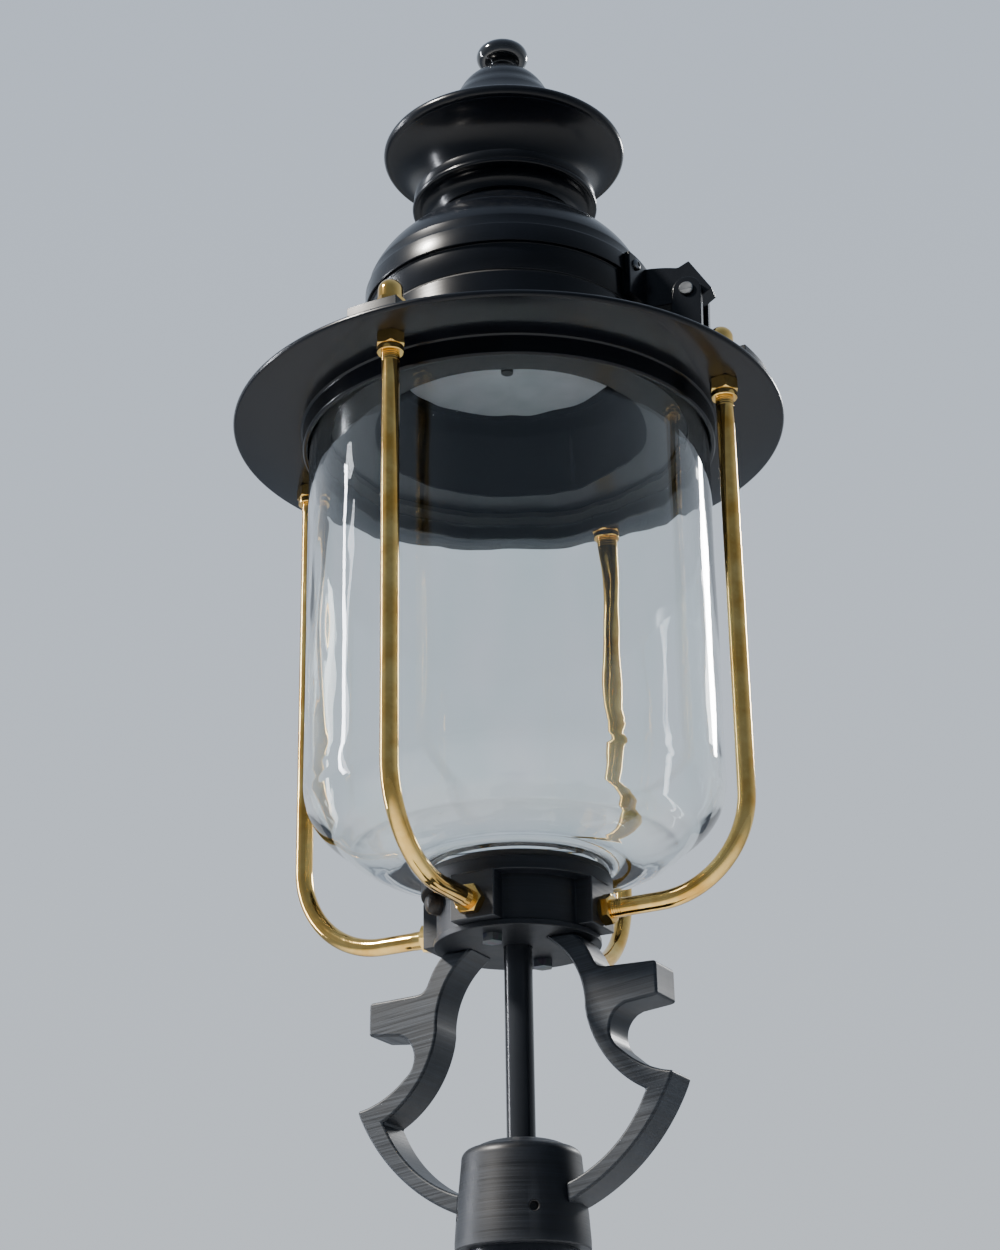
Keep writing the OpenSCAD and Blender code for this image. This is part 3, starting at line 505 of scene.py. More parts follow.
def makeHoodRing():
    d = ringSize
    brimR, glassR, throatR = d["brimR"], d["glassR"], d["throatR"]
    thick, skirt = d["thick"], d["skirt"]
    bm = bmesh.new()
    profile = ([(throatR, thick), (throatR, 0.6), (throatR + 0.6, 0)]
               + [(glassR + 0.8, 0), (glassR + 0.8, 1 - skirt), (glassR + 1.6, -skirt)]
               + [(glassR + 3.6, -skirt)]
               + [(glassR + 4.8, 1.4 - skirt), (glassR + 4.8, -1.2), (glassR + 6.2, 0), (brimR - 2, 0)]
               + arcThrough((brimR - 2, 0), (brimR, thick / 2), (brimR - 2, thick), 8)[1:])
    addLathe(bm, profile, brimMm, hoodSteps)
    half, outer, sunk = d["bossHalf"], d["bossOuter"], 2.5
    low = math.degrees(math.asin(half / outer))
    arc = [math.radians(low * (i / 6 - 1)) for i in range(13)]
    outline = ([(d["bossInner"], -half)] + [(outer * math.cos(a), outer * math.sin(a)) for a in arc]
               + [(d["bossInner"], half)])
    for k in range(4):
        addPrism(bm, outline, d["bossTop"] - sunk, spin(90 * k) @ shift(0, 0, brimMm + sunk))
    return keep("brimRing", bm, "post", ["hood_ring"], "hood_paint", 0.7)


def makeHoodBand():
    r, inner, top, foot = bandSize["bandR"], bandSize["bandIn"], bandSize["top"], ringSize["thick"]
    bm = bmesh.new()
    fillet = arcThrough((r + 2, foot + 2.7), (r + 0.7, foot + 3.5), (r, foot + 5.3), 5)
    addLathe(bm, [(inner, foot), (r + 2, foot), (r + 2, foot + 2.7)] + fillet[1:]
             + [(r, top - 0.9), (r - 0.8, top), (inner, top)], brimMm, hoodSteps)
    return keep("hoodBand", bm, "post", ["hood_band"], "hood_paint", 0.25)


def makeBell():
    # turned steps of the lid: skirt, bead, bell with two grooves, then the neck
    r, wall = bandSize["lidR"], 3
    low, step = bandSize["lidLow"], bandSize["step"]
    bandR = bandSize["bandR"]
    bm = bmesh.new()
    profile = ([(bandR - wall, low), (bandR - 0.8, low), (bandR, low + 0.9), (bandR, step - 1.5)]
               + arcThrough((bandR, step - 1.5), (bandR + 0.4, step - 0.4), (bandR + 1.2, step), 4)[1:]
               + arcThrough((r - 0.8, step), (r - 0.2, step + 0.3), (r, step + 1), 4)
               + [(r, 121.4)] + arcThrough((r, 121.4), (r - 0.9, 122.9), (r - 2.6, 123.5), 5)[1:]
               + [(r - 3.0, 124.2), (r - 3.1, 131.4)]
               + arcThrough((r - 3.2, 131.8), (r - 10.2, 145), (r - 22.4, 158.9), 22)
               + [(r - 23.2, 159.6), (r - 24.4, 159.8), (r - 24.9, 161.2)]
               + arcThrough((r - 25.2, 161.8), (r - 29.4, 166.0), (r - 35.6, 169.4), 10)
               + [(r - 36.6, 169.8), (r - 37.2, 171.4)]
               + arcThrough((r - 38.2, 172.0), (r - 44.6, 179.2), (r - 52.2, 184.6), 10)
               + arcThrough((r - 53.0, 185.2), (r - 55.6, 186.8), (neckSize["outer"], 187.9), 4)
               + [(neckSize["outer"], 183), (r - 52, 179), (r - 46, 174.6), (r - 40, 167), (r - 30, 160)]
               + [(r - 20, 149.5), (r - 12.5, 140.6), (r - 7.5, 129), (r - 7.5, 120.5)]
               + [(bandR - wall, 117.5)])
    addLathe(bm, profile, brimMm, hoodSteps)
    return keep("lidBell", bm, "lid", ["lid_bell"], "hood_paint", smoothAngle=42)


def makeCollar():
    low, top, r = neckSize["collarLow"], neckSize["collarTop"], neckSize["outer"] + 0.1
    bm = bmesh.new()
    profile = ([(r, 190), (55.4, 190)] + arcThrough((56.0, 190.3), (59.0, 196.6), (66.0, low), 12)
               + [(66.8, low - 0.1), (70.0, low - 0.1)]
               + arcThrough((70.2, low), (73.5, low + 2.4), (71.9, low + 5.0), 12)
               + [(71.5, low + 5.6), (71.9, low + 6.2), (72.2, top - 1.0), (71.4, top - 0.02)]
               + [(60, top), (r, low + 6)])
    addLathe(bm, profile, brimMm, neckSteps)
    return keep("neckCollar", bm, "lid", ["neck_collar"], "hood_paint", smoothAngle=42)


def makeNeck():
    d = neckSize
    bm = bmesh.new()
    addLathe(bm, tubeSection(d["inner"], d["outer"], d["low"], d["top"]), brimMm)
    return keep("neckTube", bm, "lid", ["neck_tube"], "hood_paint", 0.3)


capSize = {"rimR": widest("vent_cap"), "rimZ": 252, "shoulderR": 38}


def makeCap():
    rim, s, z = capSize["rimR"], capSize["shoulderR"], capSize["rimZ"]
    bm = bmesh.new()
    outer = ([(rim - 5, z - 4), (rim - 3.4, z - 4)]
             + arcThrough((rim - 3, z - 4), (rim, z + 0.6), (rim - 3, z + 5.2), 16)
             + [(rim - 4.6, z + 5.1), (rim - 6.2, z + 5.3), (rim - 8, z + 5.7)]
             + arcThrough((rim - 9, z + 6), (rim - 34, z + 22), (s + 5, z + 49), 26)
             + [(s + 1.6, z + 54)] + arcThrough((s - 1, z + 58), (s - 11, z + 73), (12.8, z + 82.2), 16)
             + [(12.2, z + 82.8), (12.0, z + 83.6), (11.2, z + 84.6), (10.4, z + 86), (0, z + 86)])
    inner = ([(0, z + 77.5), (10, z + 77)] + arcThrough((s - 15, z + 69), (s - 7, z + 58), (s - 2, z + 48), 8)
             + arcThrough((s + 1, z + 43), (rim - 37, z + 16), (rim - 9, z - 1.2), 10) + [(rim - 5, z - 1.2)])
    addLathe(bm, outer + inner, brimMm, hoodSteps)
    return keep("ventCap", bm, "lid", ["vent_cap"], "hood_paint", smoothAngle=42)


def makeCapFoot():
    r, z, foot = capSize["rimR"] - 5, capSize["rimZ"], neckSize["collarTop"]
    bm = bmesh.new()
    outer = arcThrough((58.0, foot + 0.4), (63.4, 228), (r, z - 4), 26)
    inner = arcThrough((r - 4, z - 2), (62, 233), (52, foot + 5), 14)
    addLathe(bm, [(0, foot), (57.4, foot)] + outer + [(r + 0.02, z - 2)] + inner + [(0, foot + 5)],
             brimMm, neckSteps)
    return keep("capTrumpet", bm, "lid", ["cap_foot"], "hood_paint", smoothAngle=42)


def makeKnob():
    r, z = widest("finial_knob"), 350
    bm = bmesh.new()
    addLathe(bm, [(0, 338), (10.2, 338), (10.6, 338.5), (9.6, 340.2), (9.6, 341.0)]
             + arcThrough((10.5, 341.6), (r, z), (10.5, z + 8.0), 28)
             + arcThrough((9.2, z + 8.7), (4.6, z + 9.8), (0, z + 10), 6), brimMm, 128)
    return keep("finialKnob", bm, "lid", ["finial_knob"], "gloss_paint", smoothAngle=60)


for make in (makeHoodRing, makeHoodBand, makeBell, makeCollar, makeNeck, makeCap, makeCapFoot, makeKnob):
    make()
print("stage: hood made")


# glass

glassSize = {"r": widest("glass"), "wall": 4, "low": -341, "shoulder": -284, "top": -5.6, "neckR": 64,
             "foot": -356.5, "waveMm": 0.4, "steps": 320}


def makeGlass():
    d = glassSize
    r, w, low, foot, neckR = d["r"], d["wall"], d["low"], d["foot"], d["neckR"]
    rows = 36
    heights = [d["top"] + (d["shoulder"] - d["top"]) * i / rows for i in range(rows)]
    outer = ([(r, z) for z in heights]
             + arcThrough((r, d["shoulder"]), (r - 5.5, -306), (r - 22, -323), 18)
             + arcThrough((r - 26, -326.4), (r - 40, -338), (r - 62, low - 4.4), 14)
             + arcThrough((r - 70, low - 6.0), (neckR + 4.6, foot + 8.2), (neckR + 1.2, foot + 4.2), 10))
    inner = ([(neckR - 2.0, foot + 4), (neckR - 2.4, foot + 8.6)]
             + arcThrough((r - 70 - w / 2, low - 2 + w / 2), (r - 50, low + 3.6 + w / 2), (r - 36, -330), 10)
             + arcThrough((r - 28, -323.6), (r - 9.5, -303.5), (r - w, d["shoulder"]), 18)
             + [(r - w, z) for z in reversed(heights)]
             + arcThrough((r - w, -5.2), (r - w / 2, -4.2), (r, -5.2), 6))
    bm = bmesh.new()
    for v in addLathe(bm, outer + inner, 0, d["steps"]):
        # blown glass is never true: slow ripples down and round the wall, the two faces rippling apart;
        # they fade out at the top seal and at the foot, and never push the outside beyond its size
        radius = math.hypot(v.co.x, v.co.y)
        onInside = radius <= r - w / 2
        fade = min(1.0, max(0.0, (-v.co.z - 6) / 24)) * min(1.0, max(0.0, (v.co.z - foot - 12) / 20))
        way = Vector((v.co.x / 46, v.co.y / 46, v.co.z / 110 + (9.0 if onInside else 0.0)))
        push = (noise.noise(way) + noise.noise(way * 2.7) * 0.35) * d["waveMm"]
        push = max(-0.9, min(0.9, push)) if onInside else max(-0.9, min(0.0, push - 0.35))
        grow = 1 + push * fade / max(radius, 1)
        v.co.x *= grow
        v.co.y *= grow
        v.co.z += brimMm
    return keep("glassCylinder", bm, "post", ["glass"], "clear_glass", smoothAngle=60)


makeGlass()
print("stage: glass made")


# rods and their nuts

rodSize = {"r": 6.5, "circle": widest("rod_1") - 6.5, "lowZ": -386.5, "bend": 68, "top": 31, "inner": 46,
           "padR": 67, "steps": 32}
nutSize = {"flats": 19, "footH": 8, "underH": 10, "domeH": 13, "washerR": 12.5, "washerT": 2, "pitch": 1.75}
# where the inner end and the upright of each rod stand
rodFeet = [atBrim @ spin(90 * k) @ shift(rodSize["padR"], 0, rodSize["lowZ"]) @ outward for k in range(4)]
rodTops = [atBrim @ spin(90 * k) @ shift(rodSize["circle"], 0, 0) for k in range(4)]


def rodPath():
    # down from the dome nut, round the bend and in to the gallery
    circle, lowZ, bend, top, inner = (rodSize[key] for key in ("circle", "lowZ", "bend", "top", "inner"))
    start = lowZ + bend
    points = [(circle, top + (start - top) * i / 8) for i in range(8)]
    for i in range(25):
        a = math.radians(90 * i / 24)
        points.append((circle - bend + bend * math.cos(a), start - bend * math.sin(a)))
    return points + [(circle - bend - 20, lowZ), (inner + 15, lowZ), (inner, lowZ)]


def makeRod(index):
    d = rodSize
    path = rodPath()
    bm = bmesh.new()
    rows = []
    for i, (u, z) in enumerate(path):
        a = path[max(i - 1, 0)]
        b = path[min(i + 1, len(path) - 1)]
        du, dz = b[0] - a[0], b[1] - a[1]
        size = math.hypot(du, dz)
        # the section stands square to the path
        rows.append([bm.verts.new((u - dz / size * rise, side, z + du / size * rise))
                     for rise, side in around(d["r"], d["steps"])])
    for a, b in zip(rows, rows[1:]):
        for k in range(d["steps"]):
            j = (k + 1) % d["steps"]
            bm.faces.new((a[k], a[j], b[j], b[k]))
    bm.faces.new(rows[0])
    bm.faces.new(list(reversed(rows[-1])))
    bmesh.ops.transform(bm, matrix=atBrim @ spin(90 * index), verts=bm.verts)
    return keep(f"brassRod{index + 1}", bm, "post", [f"rod_{index + 1}"], "brass")


def makeFootNuts():
    bm = bmesh.new()
    for k, at in enumerate(rodFeet):
        addHexNut(bm, nutSize["flats"], nutSize["footH"], rodSize["r"] - 0.05, at @ spin(8 * k + 5))
    return keep("rodFootNuts", bm, "post", ["rod_foot_nuts"], "brass", smoothAngle=24)


def makeThreads():
    # short runs of thread that show beside the foot nuts and below the under nuts
    bm = bmesh.new()
    pitch, crest, root, core = nutSize["pitch"], rodSize["r"] + 0.22, rodSize["r"] + 0.02, rodSize["r"] - 0.3
    for foot, top in zip(rodFeet, rodTops):
        for start, length, at in ((nutSize["footH"], 9, foot), (-22, 7, top)):
            turns = int(length / pitch)
            profile = [(core, start)]
            for i in range(turns):
                low = start + pitch * i
                profile += [(root, low), (crest, low + pitch * 0.42), (crest, low + pitch * 0.58)]
            profile += [(root, start + pitch * turns), (core, start + pitch * turns)]
            addLathe(bm, profile, 0, 40, at)
    return keep("rodThreads", bm, "post", [], "brass", smoothAngle=30)


def makeUnderNuts():
    # hex nut against the brim with a round collar below it
    r, high = rodSize["r"], nutSize["underH"]
    bm = bmesh.new()
    for k, at in enumerate(rodTops):
        addHexNut(bm, nutSize["flats"], high, r - 0.05, at @ shift(0, 0, -high) @ spin(11 * k))
        addLathe(bm, [(r - 0.1, -high - 5), (9.0, -high - 5), (9.5, -high - 4.5), (9.5, -high - 0.4),
                      (9.2, -high), (r - 0.1, -high)], 0, 48, at)
    return keep("rodUnderNuts", bm, "post", ["rod_under_nuts"], "brass", smoothAngle=24)


def makeWashers():
    r, wide, low = rodSize["r"], nutSize["washerR"], ringSize["bossTop"]
    high = low + nutSize["washerT"]
    bm = bmesh.new()
    for at in rodTops:
        addLathe(bm, [(r, low), (wide - 0.3, low), (wide, low + 0.3), (wide, high - 0.4), (wide - 0.3, high),
                      (r, high)], 0, 64, at)
    return keep("rodWashers", bm, "post", ["rod_washers"], "brass", smoothAngle=30)


def makeDomeNuts():
    bm = bmesh.new()
    dome = [(0, 12.4), (9.0, 12.4), (9.1, 13.2)] + arcThrough((9.1, 19.6), (6.6, 26.2), (0, 28.9), 14)
    for k, top in enumerate(rodTops):
        at = top @ shift(0, 0, ringSize["bossTop"] + nutSize["washerT"])
        addHexNut(bm, nutSize["flats"], nutSize["domeH"], 4.0, at @ spin(17 * k + 4))
        addLathe(bm, dome, 0, 64, at)
    return keep("rodDomeNuts", bm, "post", ["rod_dome_nuts"], "brass", smoothAngle=24)


for index in range(4):
    makeRod(index)
for make in (makeFootNuts, makeThreads, makeUnderNuts, makeWashers, makeDomeNuts):
    make()
print("stage: rods made")


# gallery, frog and socket

gallerySize = {"top": -356.5, "flangeR": 68, "flangeT": 10, "bodyR": 57, "low": -399, "padR": 67,
               "padHalf": 17, "cavityR": 40, "screwAt": 225}


def crossOutline(radius, reach, half):
    # a round body with four square pads
    points = []
    touch = math.asin(half / radius)
    inner = radius * math.cos(touch)
    for k in range(4):
        quarter = math.radians(90 * k)
        c, s = math.cos(quarter), math.sin(quarter)
        for x, y in ((inner, -half), (reach, -half), (reach, half), (inner, half)):
            points.append((x * c - y * s, x * s + y * c))
        for i in range(1, 12):
            a = quarter + touch + (math.pi / 2 - 2 * touch) * i / 12
            points.append((radius * math.cos(a), radius * math.sin(a)))
    return points


def makeGallery():
    d = gallerySize
    under = d["top"] - d["flangeT"]
    bm = bmesh.new()
    addLathe(bm, tubeSection(d["cavityR"], d["flangeR"], under, d["top"]), brimMm, 192)
    addPrism(bm, crossOutline(d["bodyR"], d["padR"], d["padHalf"]), under - d["low"] + 1,
             shift(0, 0, brimMm + d["low"]))
    return keep("gallery", bm, "post", ["gallery"], "casting_paint", 0.9)


def makeGalleryScrew():
    d = gallerySize
    bm = bmesh.new()
    at = atBrim @ spin(d["screwAt"]) @ shift(d["bodyR"] - 1.2, 0, d["top"] - d["flangeT"] - 9) @ outward
    head = arcThrough((8.2, 4.2), (6.4, 9.2), (1.6, 11.4), 12)
    addLathe(bm, [(0, 0), (8.0, 0), (8.4, 0.4), (8.4, 3.6)] + head + [(0, 11.5)], 0, 56, at)
    return keep("galleryScrew", bm, "post", ["gallery_screw"], "black_steel", smoothAngle=45)


frogSize = {"plateR": 59, "plateT": 4.4, "hole": 10, "legHalf": 15.5, "top": gallerySize["low"]}


def makeFrogPlate():
    d = frogSize
    low = d["top"] - d["plateT"]
    bm = bmesh.new()
    addLathe(bm, tubeSection(d["hole"], d["plateR"], low, d["top"]), brimMm)
    return keep("frogPlate", bm, "post", ["frog_plate"], "casting_paint", 0.7)


def legOutline():
    # x out from the post, y up from the brim: outer edge from foot to top, then the inner edge down again
    points = arcThrough((41.3, -586.8), (89.5, -555.4), (119.4, -513), 30)
    points += arcThrough((120.4, -510.4), (120.6, -508.2), (118.6, -507.2), 6)
    points += arcThrough((114, -506.2), (103.5, -502.3), (88, -492.6), 14)
    points += arcThrough((83.5, -488.6), (76.4, -471.5), (84.5, -459.8), 22)
    points += [(88.5, -458.2), (109, -456)]
    points += arcThrough((110.6, -455.6), (112, -454.6), (112.2, -453), 6)
    points += arcThrough((112, -434.4), (111.4, -432.4), (109.4, -431.4), 6)
    points += [(74, -430.4)]
    points += arcThrough((70.4, -429.8), (67.2, -427.6), (65, -424), 10)
    points += arcThrough((62.4, -418.6), (57.4, -410.4), (50.7, -403.4), 10)
    points += arcThrough((28, -403.4), (47.8, -422), (57.6, -457), 24)
    points += arcThrough((58.6, -463.5), (70.6, -491), (101, -517.8), 26)
    points += arcThrough((99, -521.5), (79.5, -549.3), (39.9, -573.6), 26)
    return points


def makeLeg(side, name, node):
    half = frogSize["legHalf"]
    bm = bmesh.new()
    addPrism(bm, legOutline(), 2 * half, atBrim @ shift(0, half, 0) @ edgeOn)
    if side < 0:
        bmesh.ops.transform(bm, matrix=Matrix.Scale(-1, 4, (1, 0, 0)), verts=bm.verts)
    # the legs wear the lighter copy of the casting paint, a painted sheen
    return keep(name, bm, "post", [node], "casting_paint", 2.0, 30, clamp=False, finish=paintedSheenLegFinish)


socketSize = {"footR": widest("socket"), "grubR": 44.8, "neckR": 41.1, "low": -613, "grubZ": -590,
              "shoulder": -551, "top": -539, "post": 38.2, "screwR": 4, "screwReach": 44.2,
              "firstScrew": 37.5}
grubPlaces = [atBrim @ spin(socketSize["firstScrew"] + 90 * k) for k in range(4)]


def makeSocket():
    d = socketSize
    n, sh, low, top, bore, footR = d["neckR"], d["shoulder"], d["low"], d["top"], d["post"], d["footR"]
    bm = bmesh.new()
    profile = ([(bore, low), (footR - 0.8, low), (footR, low + 0.8), (footR, low + 6)]
               + [(d["grubR"], d["grubZ"]), (n, sh - 2)]
               + arcThrough((n, sh - 1.4), (n - 1.6, sh + 3.2), (n - 6.6, sh + 5.8), 10)
               + arcThrough((n - 8.0, sh + 6.4), (26, top - 2.4), (15, top - 0.6), 12)
               + [(13.4, top - 0.2), (12.4, top), (10, top), (10, top - 22), (28, top - 22), (28, top - 33)]
               + [(bore, top - 33)])
    addLathe(bm, profile, brimMm, 224)
    piece = keep("postSocket", bm, "post", ["socket"], "casting_paint", smoothAngle=40)
    drill(piece, [at @ shift(bore - 3, 0, d["grubZ"]) @ outward for at in grubPlaces], d["screwR"] + 0.05, 14)
    return piece


def drill(piece, places, radius, length):
    # bores through a finished piece
    bm = bmesh.new()
    for at in places:
        addLathe(bm, [(0, 0), (radius, 0), (radius, length), (0, length)], 0, 40, at)
    bmesh.ops.recalc_face_normals(bm, faces=bm.faces)
    bmesh.ops.scale(bm, vec=(mm, mm, mm), verts=bm.verts)
    cutMesh = bpy.data.meshes.new("cutter")
    bm.to_mesh(cutMesh)
    bm.free()
    cutter = bpy.data.objects.new("cutter", cutMesh)
    bpy.context.scene.collection.objects.link(cutter)
    cut = piece.modifiers.new("bores", "BOOLEAN")
    cut.operation, cut.solver, cut.object = "DIFFERENCE", "EXACT", cutter
    bpy.context.view_layer.update()
    made = bpy.data.meshes.new_from_object(piece.evaluated_get(bpy.context.evaluated_depsgraph_get()))
    piece.modifiers.remove(cut)
    finish = piece.data.materials[0]
    piece.data = made
    made.materials.clear()
    made.materials.append(finish)
    bpy.data.objects.remove(cutter)


def makeGrubScrews():
    # headless screws with a key socket, sunk just below the socket's face
    d = socketSize
    r, start = d["screwR"], d["post"] + 0.2
    tip = d["screwReach"] - start
    bm = bmesh.new()
    profile = [(0, 0), (r, 0), (r, tip - 0.5), (r - 0.4, tip), (r - 0.9, tip - 0.3), (r - 1.1, tip - 4.2),
               (0, tip - 4.6)]
    for at in grubPlaces:
        addLathe(bm, profile, 0, 36, at @ shift(start, 0, d["grubZ"]) @ outward)
    return keep("grubScrews", bm, "post", ["grub_screws"], "black_steel", smoothAngle=30)


conduitSize = {"inner": 8.2, "outer": 10, "low": -602, "top": -379}


def makeConduit():
    d = conduitSize
    bm = bmesh.new()
    addLathe(bm, tubeSection(d["inner"], d["outer"], d["low"], d["top"]), brimMm, 96)
    return keep("conduitTube", bm, "post", ["conduit"], "conduit_paint")


for make in (makeGallery, makeGalleryScrew, makeFrogPlate, makeSocket, makeGrubScrews, makeConduit):
    make()
makeLeg(1, "frogLegRight", "frog_leg_right")
makeLeg(-1, "frogLegLeft", "frog_leg_left")
print("stage: gallery and frog made")


# column

columnSize = {"plateW": 2 * widest("base_plate"), "plateT": 16, "corner": 9, "bore": 45, "boltAt": 100,
              "boltR": 11, "baseR": widest("base_tube"), "baseH": 900, "postR": widest("post_tube"),
              "ringLow": (1336, 1817)}


def addPlate(bm, loops, depth, place):
    # flat plate with holes: the first loop is the outline, the rest are holes
    edges = []
    for loop in loops:
        verts = [bm.verts.new((x, y, 0)) for x, y in loop]
        edges += [bm.edges.new((verts[i], verts[(i + 1) % len(verts)])) for i in range(len(verts))]
    filled = bmesh.ops.triangle_fill(bm, use_beauty=True, edges=edges)["geom"]
    faces = [part for part in filled if isinstance(part, bmesh.types.BMFace)]
    grown = bmesh.ops.extrude_face_region(bm, geom=faces)["geom"]
    raised = [part for part in grown if isinstance(part, bmesh.types.BMVert)]
    bmesh.ops.translate(bm, vec=(0, 0, depth), verts=raised)
    bmesh.ops.transform(bm, matrix=place, verts=bm.verts)


def makeBasePlate():
    d = columnSize
    r, bolt = d["corner"], d["boltAt"]
    flat = d["plateW"] / 2 - r
    outline = []
    for k, (x, y) in enumerate(((1, 1), (-1, 1), (-1, -1), (1, -1))):
        turns = [math.radians(90 * k + 90 * i / 8) for i in range(9)]
        outline += [(flat * x + r * math.cos(a), flat * y + r * math.sin(a)) for a in turns]
    holes = [around(d["boltR"], 40, x * bolt, y * bolt) for x in (-1, 1) for y in (-1, 1)]
    bm = bmesh.new()
    addPlate(bm, [outline, around(d["bore"], 72)] + holes, d["plateT"], Matrix.Identity(4))
    return keep("basePlate", bm, "post", ["base_plate"], "column_paint", 1.4, 30)


gussetSize = {"out": 36, "tall": 110, "thick": 10, "firstAt": 45}


def makeGussets():
    d = gussetSize
    r, out, tall, half = columnSize["baseR"], d["out"], d["tall"], d["thick"] / 2
    outline = [(r - 0.2, 0), (r + out - 1, 0), (r + out, 1), (r + out, 12), (r + 10.4, tall - 1),
               (r + 9, tall), (r - 0.2, tall)]
    bm = bmesh.new()
    for k in range(4):
        at = spin(d["firstAt"] + 90 * k) @ shift(0, half, columnSize["plateT"])
        addPrism(bm, outline, d["thick"], at @ edgeOn)
    return keep("baseGussets", bm, "post", ["base_gussets"], "column_paint", 1.0, 30)


def makeBaseCap():
    d = columnSize
    r, hole, inner, height = d["baseR"], d["postR"] + 0.5, d["postR"] + 8, 80
    bm = bmesh.new()
    profile = ([(hole, 0), (r + 5.6, 0), (r + 6.4, 0.4)]
               + arcThrough((r + 6.8, 1), (r + 10, 7), (r + 6.8, 13), 16)
               + [(r + 5.6, 14), (r + 2.0, 14.6), (r + 1.2, 15.6)]
               + arcThrough((r + 0.8, 17), (r - 12, 34), (inner, 61), 28)
               + [(inner + 0.6, 64.6), (inner + 2.6, 66), (inner + 3, 67.2), (inner + 3, 73.4)]
               + [(inner + 2.4, 75)]
               + [(inner - 2.4, height - 0.6), (inner - 3.6, height), (hole, height)])
    addLathe(bm, profile, d["plateT"] + d["baseH"], 224)
    return keep("baseCap", bm, "post", ["base_cap"], "column_paint", smoothAngle=38)


def makePostRings():
    r, tall = columnSize["postR"], 24
    bead = arcThrough((r + 5.4, 4.2), (r + 11, tall / 2), (r + 5.4, tall - 4.2), 22)
    profile = ([(r + 0.3, 0), (r + 3.6, 0), (r + 4, 0.4), (r + 4.8, 3.4)] + bead
               + [(r + 4.8, tall - 3.4), (r + 4, tall - 0.4), (r + 3.6, tall), (r + 0.3, tall)])
    bm = bmesh.new()
    for low in columnSize["ringLow"]:
        addLathe(bm, profile, low, 192)
    return keep("postRings", bm, "post", ["post_rings"], "column_paint", smoothAngle=38)


weldSize = {"bead": 4.2, "gussetFoot": 0.75, "gussetSide": 0.7, "beside": 5.4}


def addBead(bm, path, radius):
    # a hand laid weld: overlapping ripples along its run
    rows = []
    for i, point in enumerate(path):
        ahead = (path[min(i + 1, len(path) - 1)] - path[max(i - 1, 0)]).normalized()
        side = ahead.orthogonal().normalized()
        across = ahead.cross(side)
        swell = radius * (0.86 + 0.10 * abs(math.sin(i * 0.9)) + 0.10 * noise.noise(point * 0.09))
        rows.append([bm.verts.new(point + (side * math.cos(t) + across * math.sin(t)) * swell)
                     for t in (math.radians(36 * k) for k in range(10))])
    for a, b in zip(rows, rows[1:]):
        for k in range(10):
            bm.faces.new((a[k], a[(k + 1) % 10], b[(k + 1) % 10], b[k]))
    bm.faces.new(rows[0])
    bm.faces.new(list(reversed(rows[-1])))


def makeWelds():
    # round the foot of the tube between the gussets, then along both sides of each gusset
    d = weldSize
    r, low, first = columnSize["baseR"], columnSize["plateT"] + 0.4, gussetSize["firstAt"]
    bm = bmesh.new()
    for k in range(4):
        turns = [math.radians(first + 90 * k + 5.5 + 79 * i / 90) for i in range(91)]
        ring = [Vector(((r + 0.6) * math.cos(a), (r + 0.6) * math.sin(a), low)) for a in turns]
        addBead(bm, ring, d["bead"])
        turned = spin(first + 90 * k)
        for y in (-d["beside"], d["beside"]):
            foot = [turned @ Vector((r + 3 + 31 * i / 26, y, low)) for i in range(27)]
            addBead(bm, foot, d["bead"] * d["gussetFoot"])
            side = [turned @ Vector((r + 0.2, y, low + 3.6 + 100 * i / 80)) for i in range(81)]
            addBead(bm, side, d["bead"] * d["gussetSide"])
    return keep("footWelds", bm, "post", [], "column_paint", smoothAngle=70)


for make in (makeBasePlate, makeGussets, makeBaseCap, makePostRings, makeWelds):
    make()
print("stage: column made")


# hinge

hingeSize = {"turned": 10, "x": 148, "z": 92.5, "pinR": 3.5, "half": 8.0, "gap": 0.4, "cheek": 7.0,
             "leafR": 115.5, "leafLow": 86.2, "leafTop": 122.4, "leafHalfW": 36, "headR": 5.5,
             "screwZ": 114, "screwTurn": 13.5}
atHinge = atBrim @ spin(hingeSize["turned"])


def makeLeaf():
    # curved leaf whose lower part lies on the band and upper part on the skirt, with the beaked lug
    d = hingeSize
    halfTurn = math.asin(d["leafHalfW"] / d["leafR"])
    onBand, onSkirt, step = bandSize["bandR"] + 0.02, bandSize["lidR"] + 0.02, bandSize["step"]
    section = [(onBand, d["leafLow"]), (d["leafR"], d["leafLow"]), (d["leafR"], d["leafTop"]),
               (onSkirt, d["leafTop"]), (onSkirt, step), (onBand, step)]
    bm = bmesh.new()
    steps = 24
    cols = []
    for i in range(steps + 1):
        a = -halfTurn + 2 * halfTurn * i / steps
        cols.append([bm.verts.new((r * math.cos(a), r * math.sin(a), z)) for r, z in section])
    for a, b in zip(cols, cols[1:]):
        for k in range(len(section)):
            j = (k + 1) % len(section)
            bm.faces.new((a[k], b[k], b[j], a[j]))
    bm.faces.new(cols[0])
    bm.faces.new(list(reversed(cols[-1])))
    x, z, root = d["x"], d["z"], bandSize["lidR"] + 0.3
    lug = ([(root, z - 6), (x - 10, z - 6), (x - 3, z - 10.3), (x + 6, z - 8), (x + 11, z - 3)]
           + [(x + 18, z + 2), (x + 1, z + 29), (x - 7, z + 25)]
           + arcThrough((x - 9, z + 24.8), (x - 22, z + 27.4), (root, z + 28.6), 6))
    addPrism(bm, lug, 2 * d["half"], shift(0, d["half"], 0) @ edgeOn)
    bmesh.ops.transform(bm, matrix=atHinge, verts=bm.verts)
    return keep("hingeLeaf", bm, "lid", ["hinge_leaf"], "hood_paint", 0.8, 25)


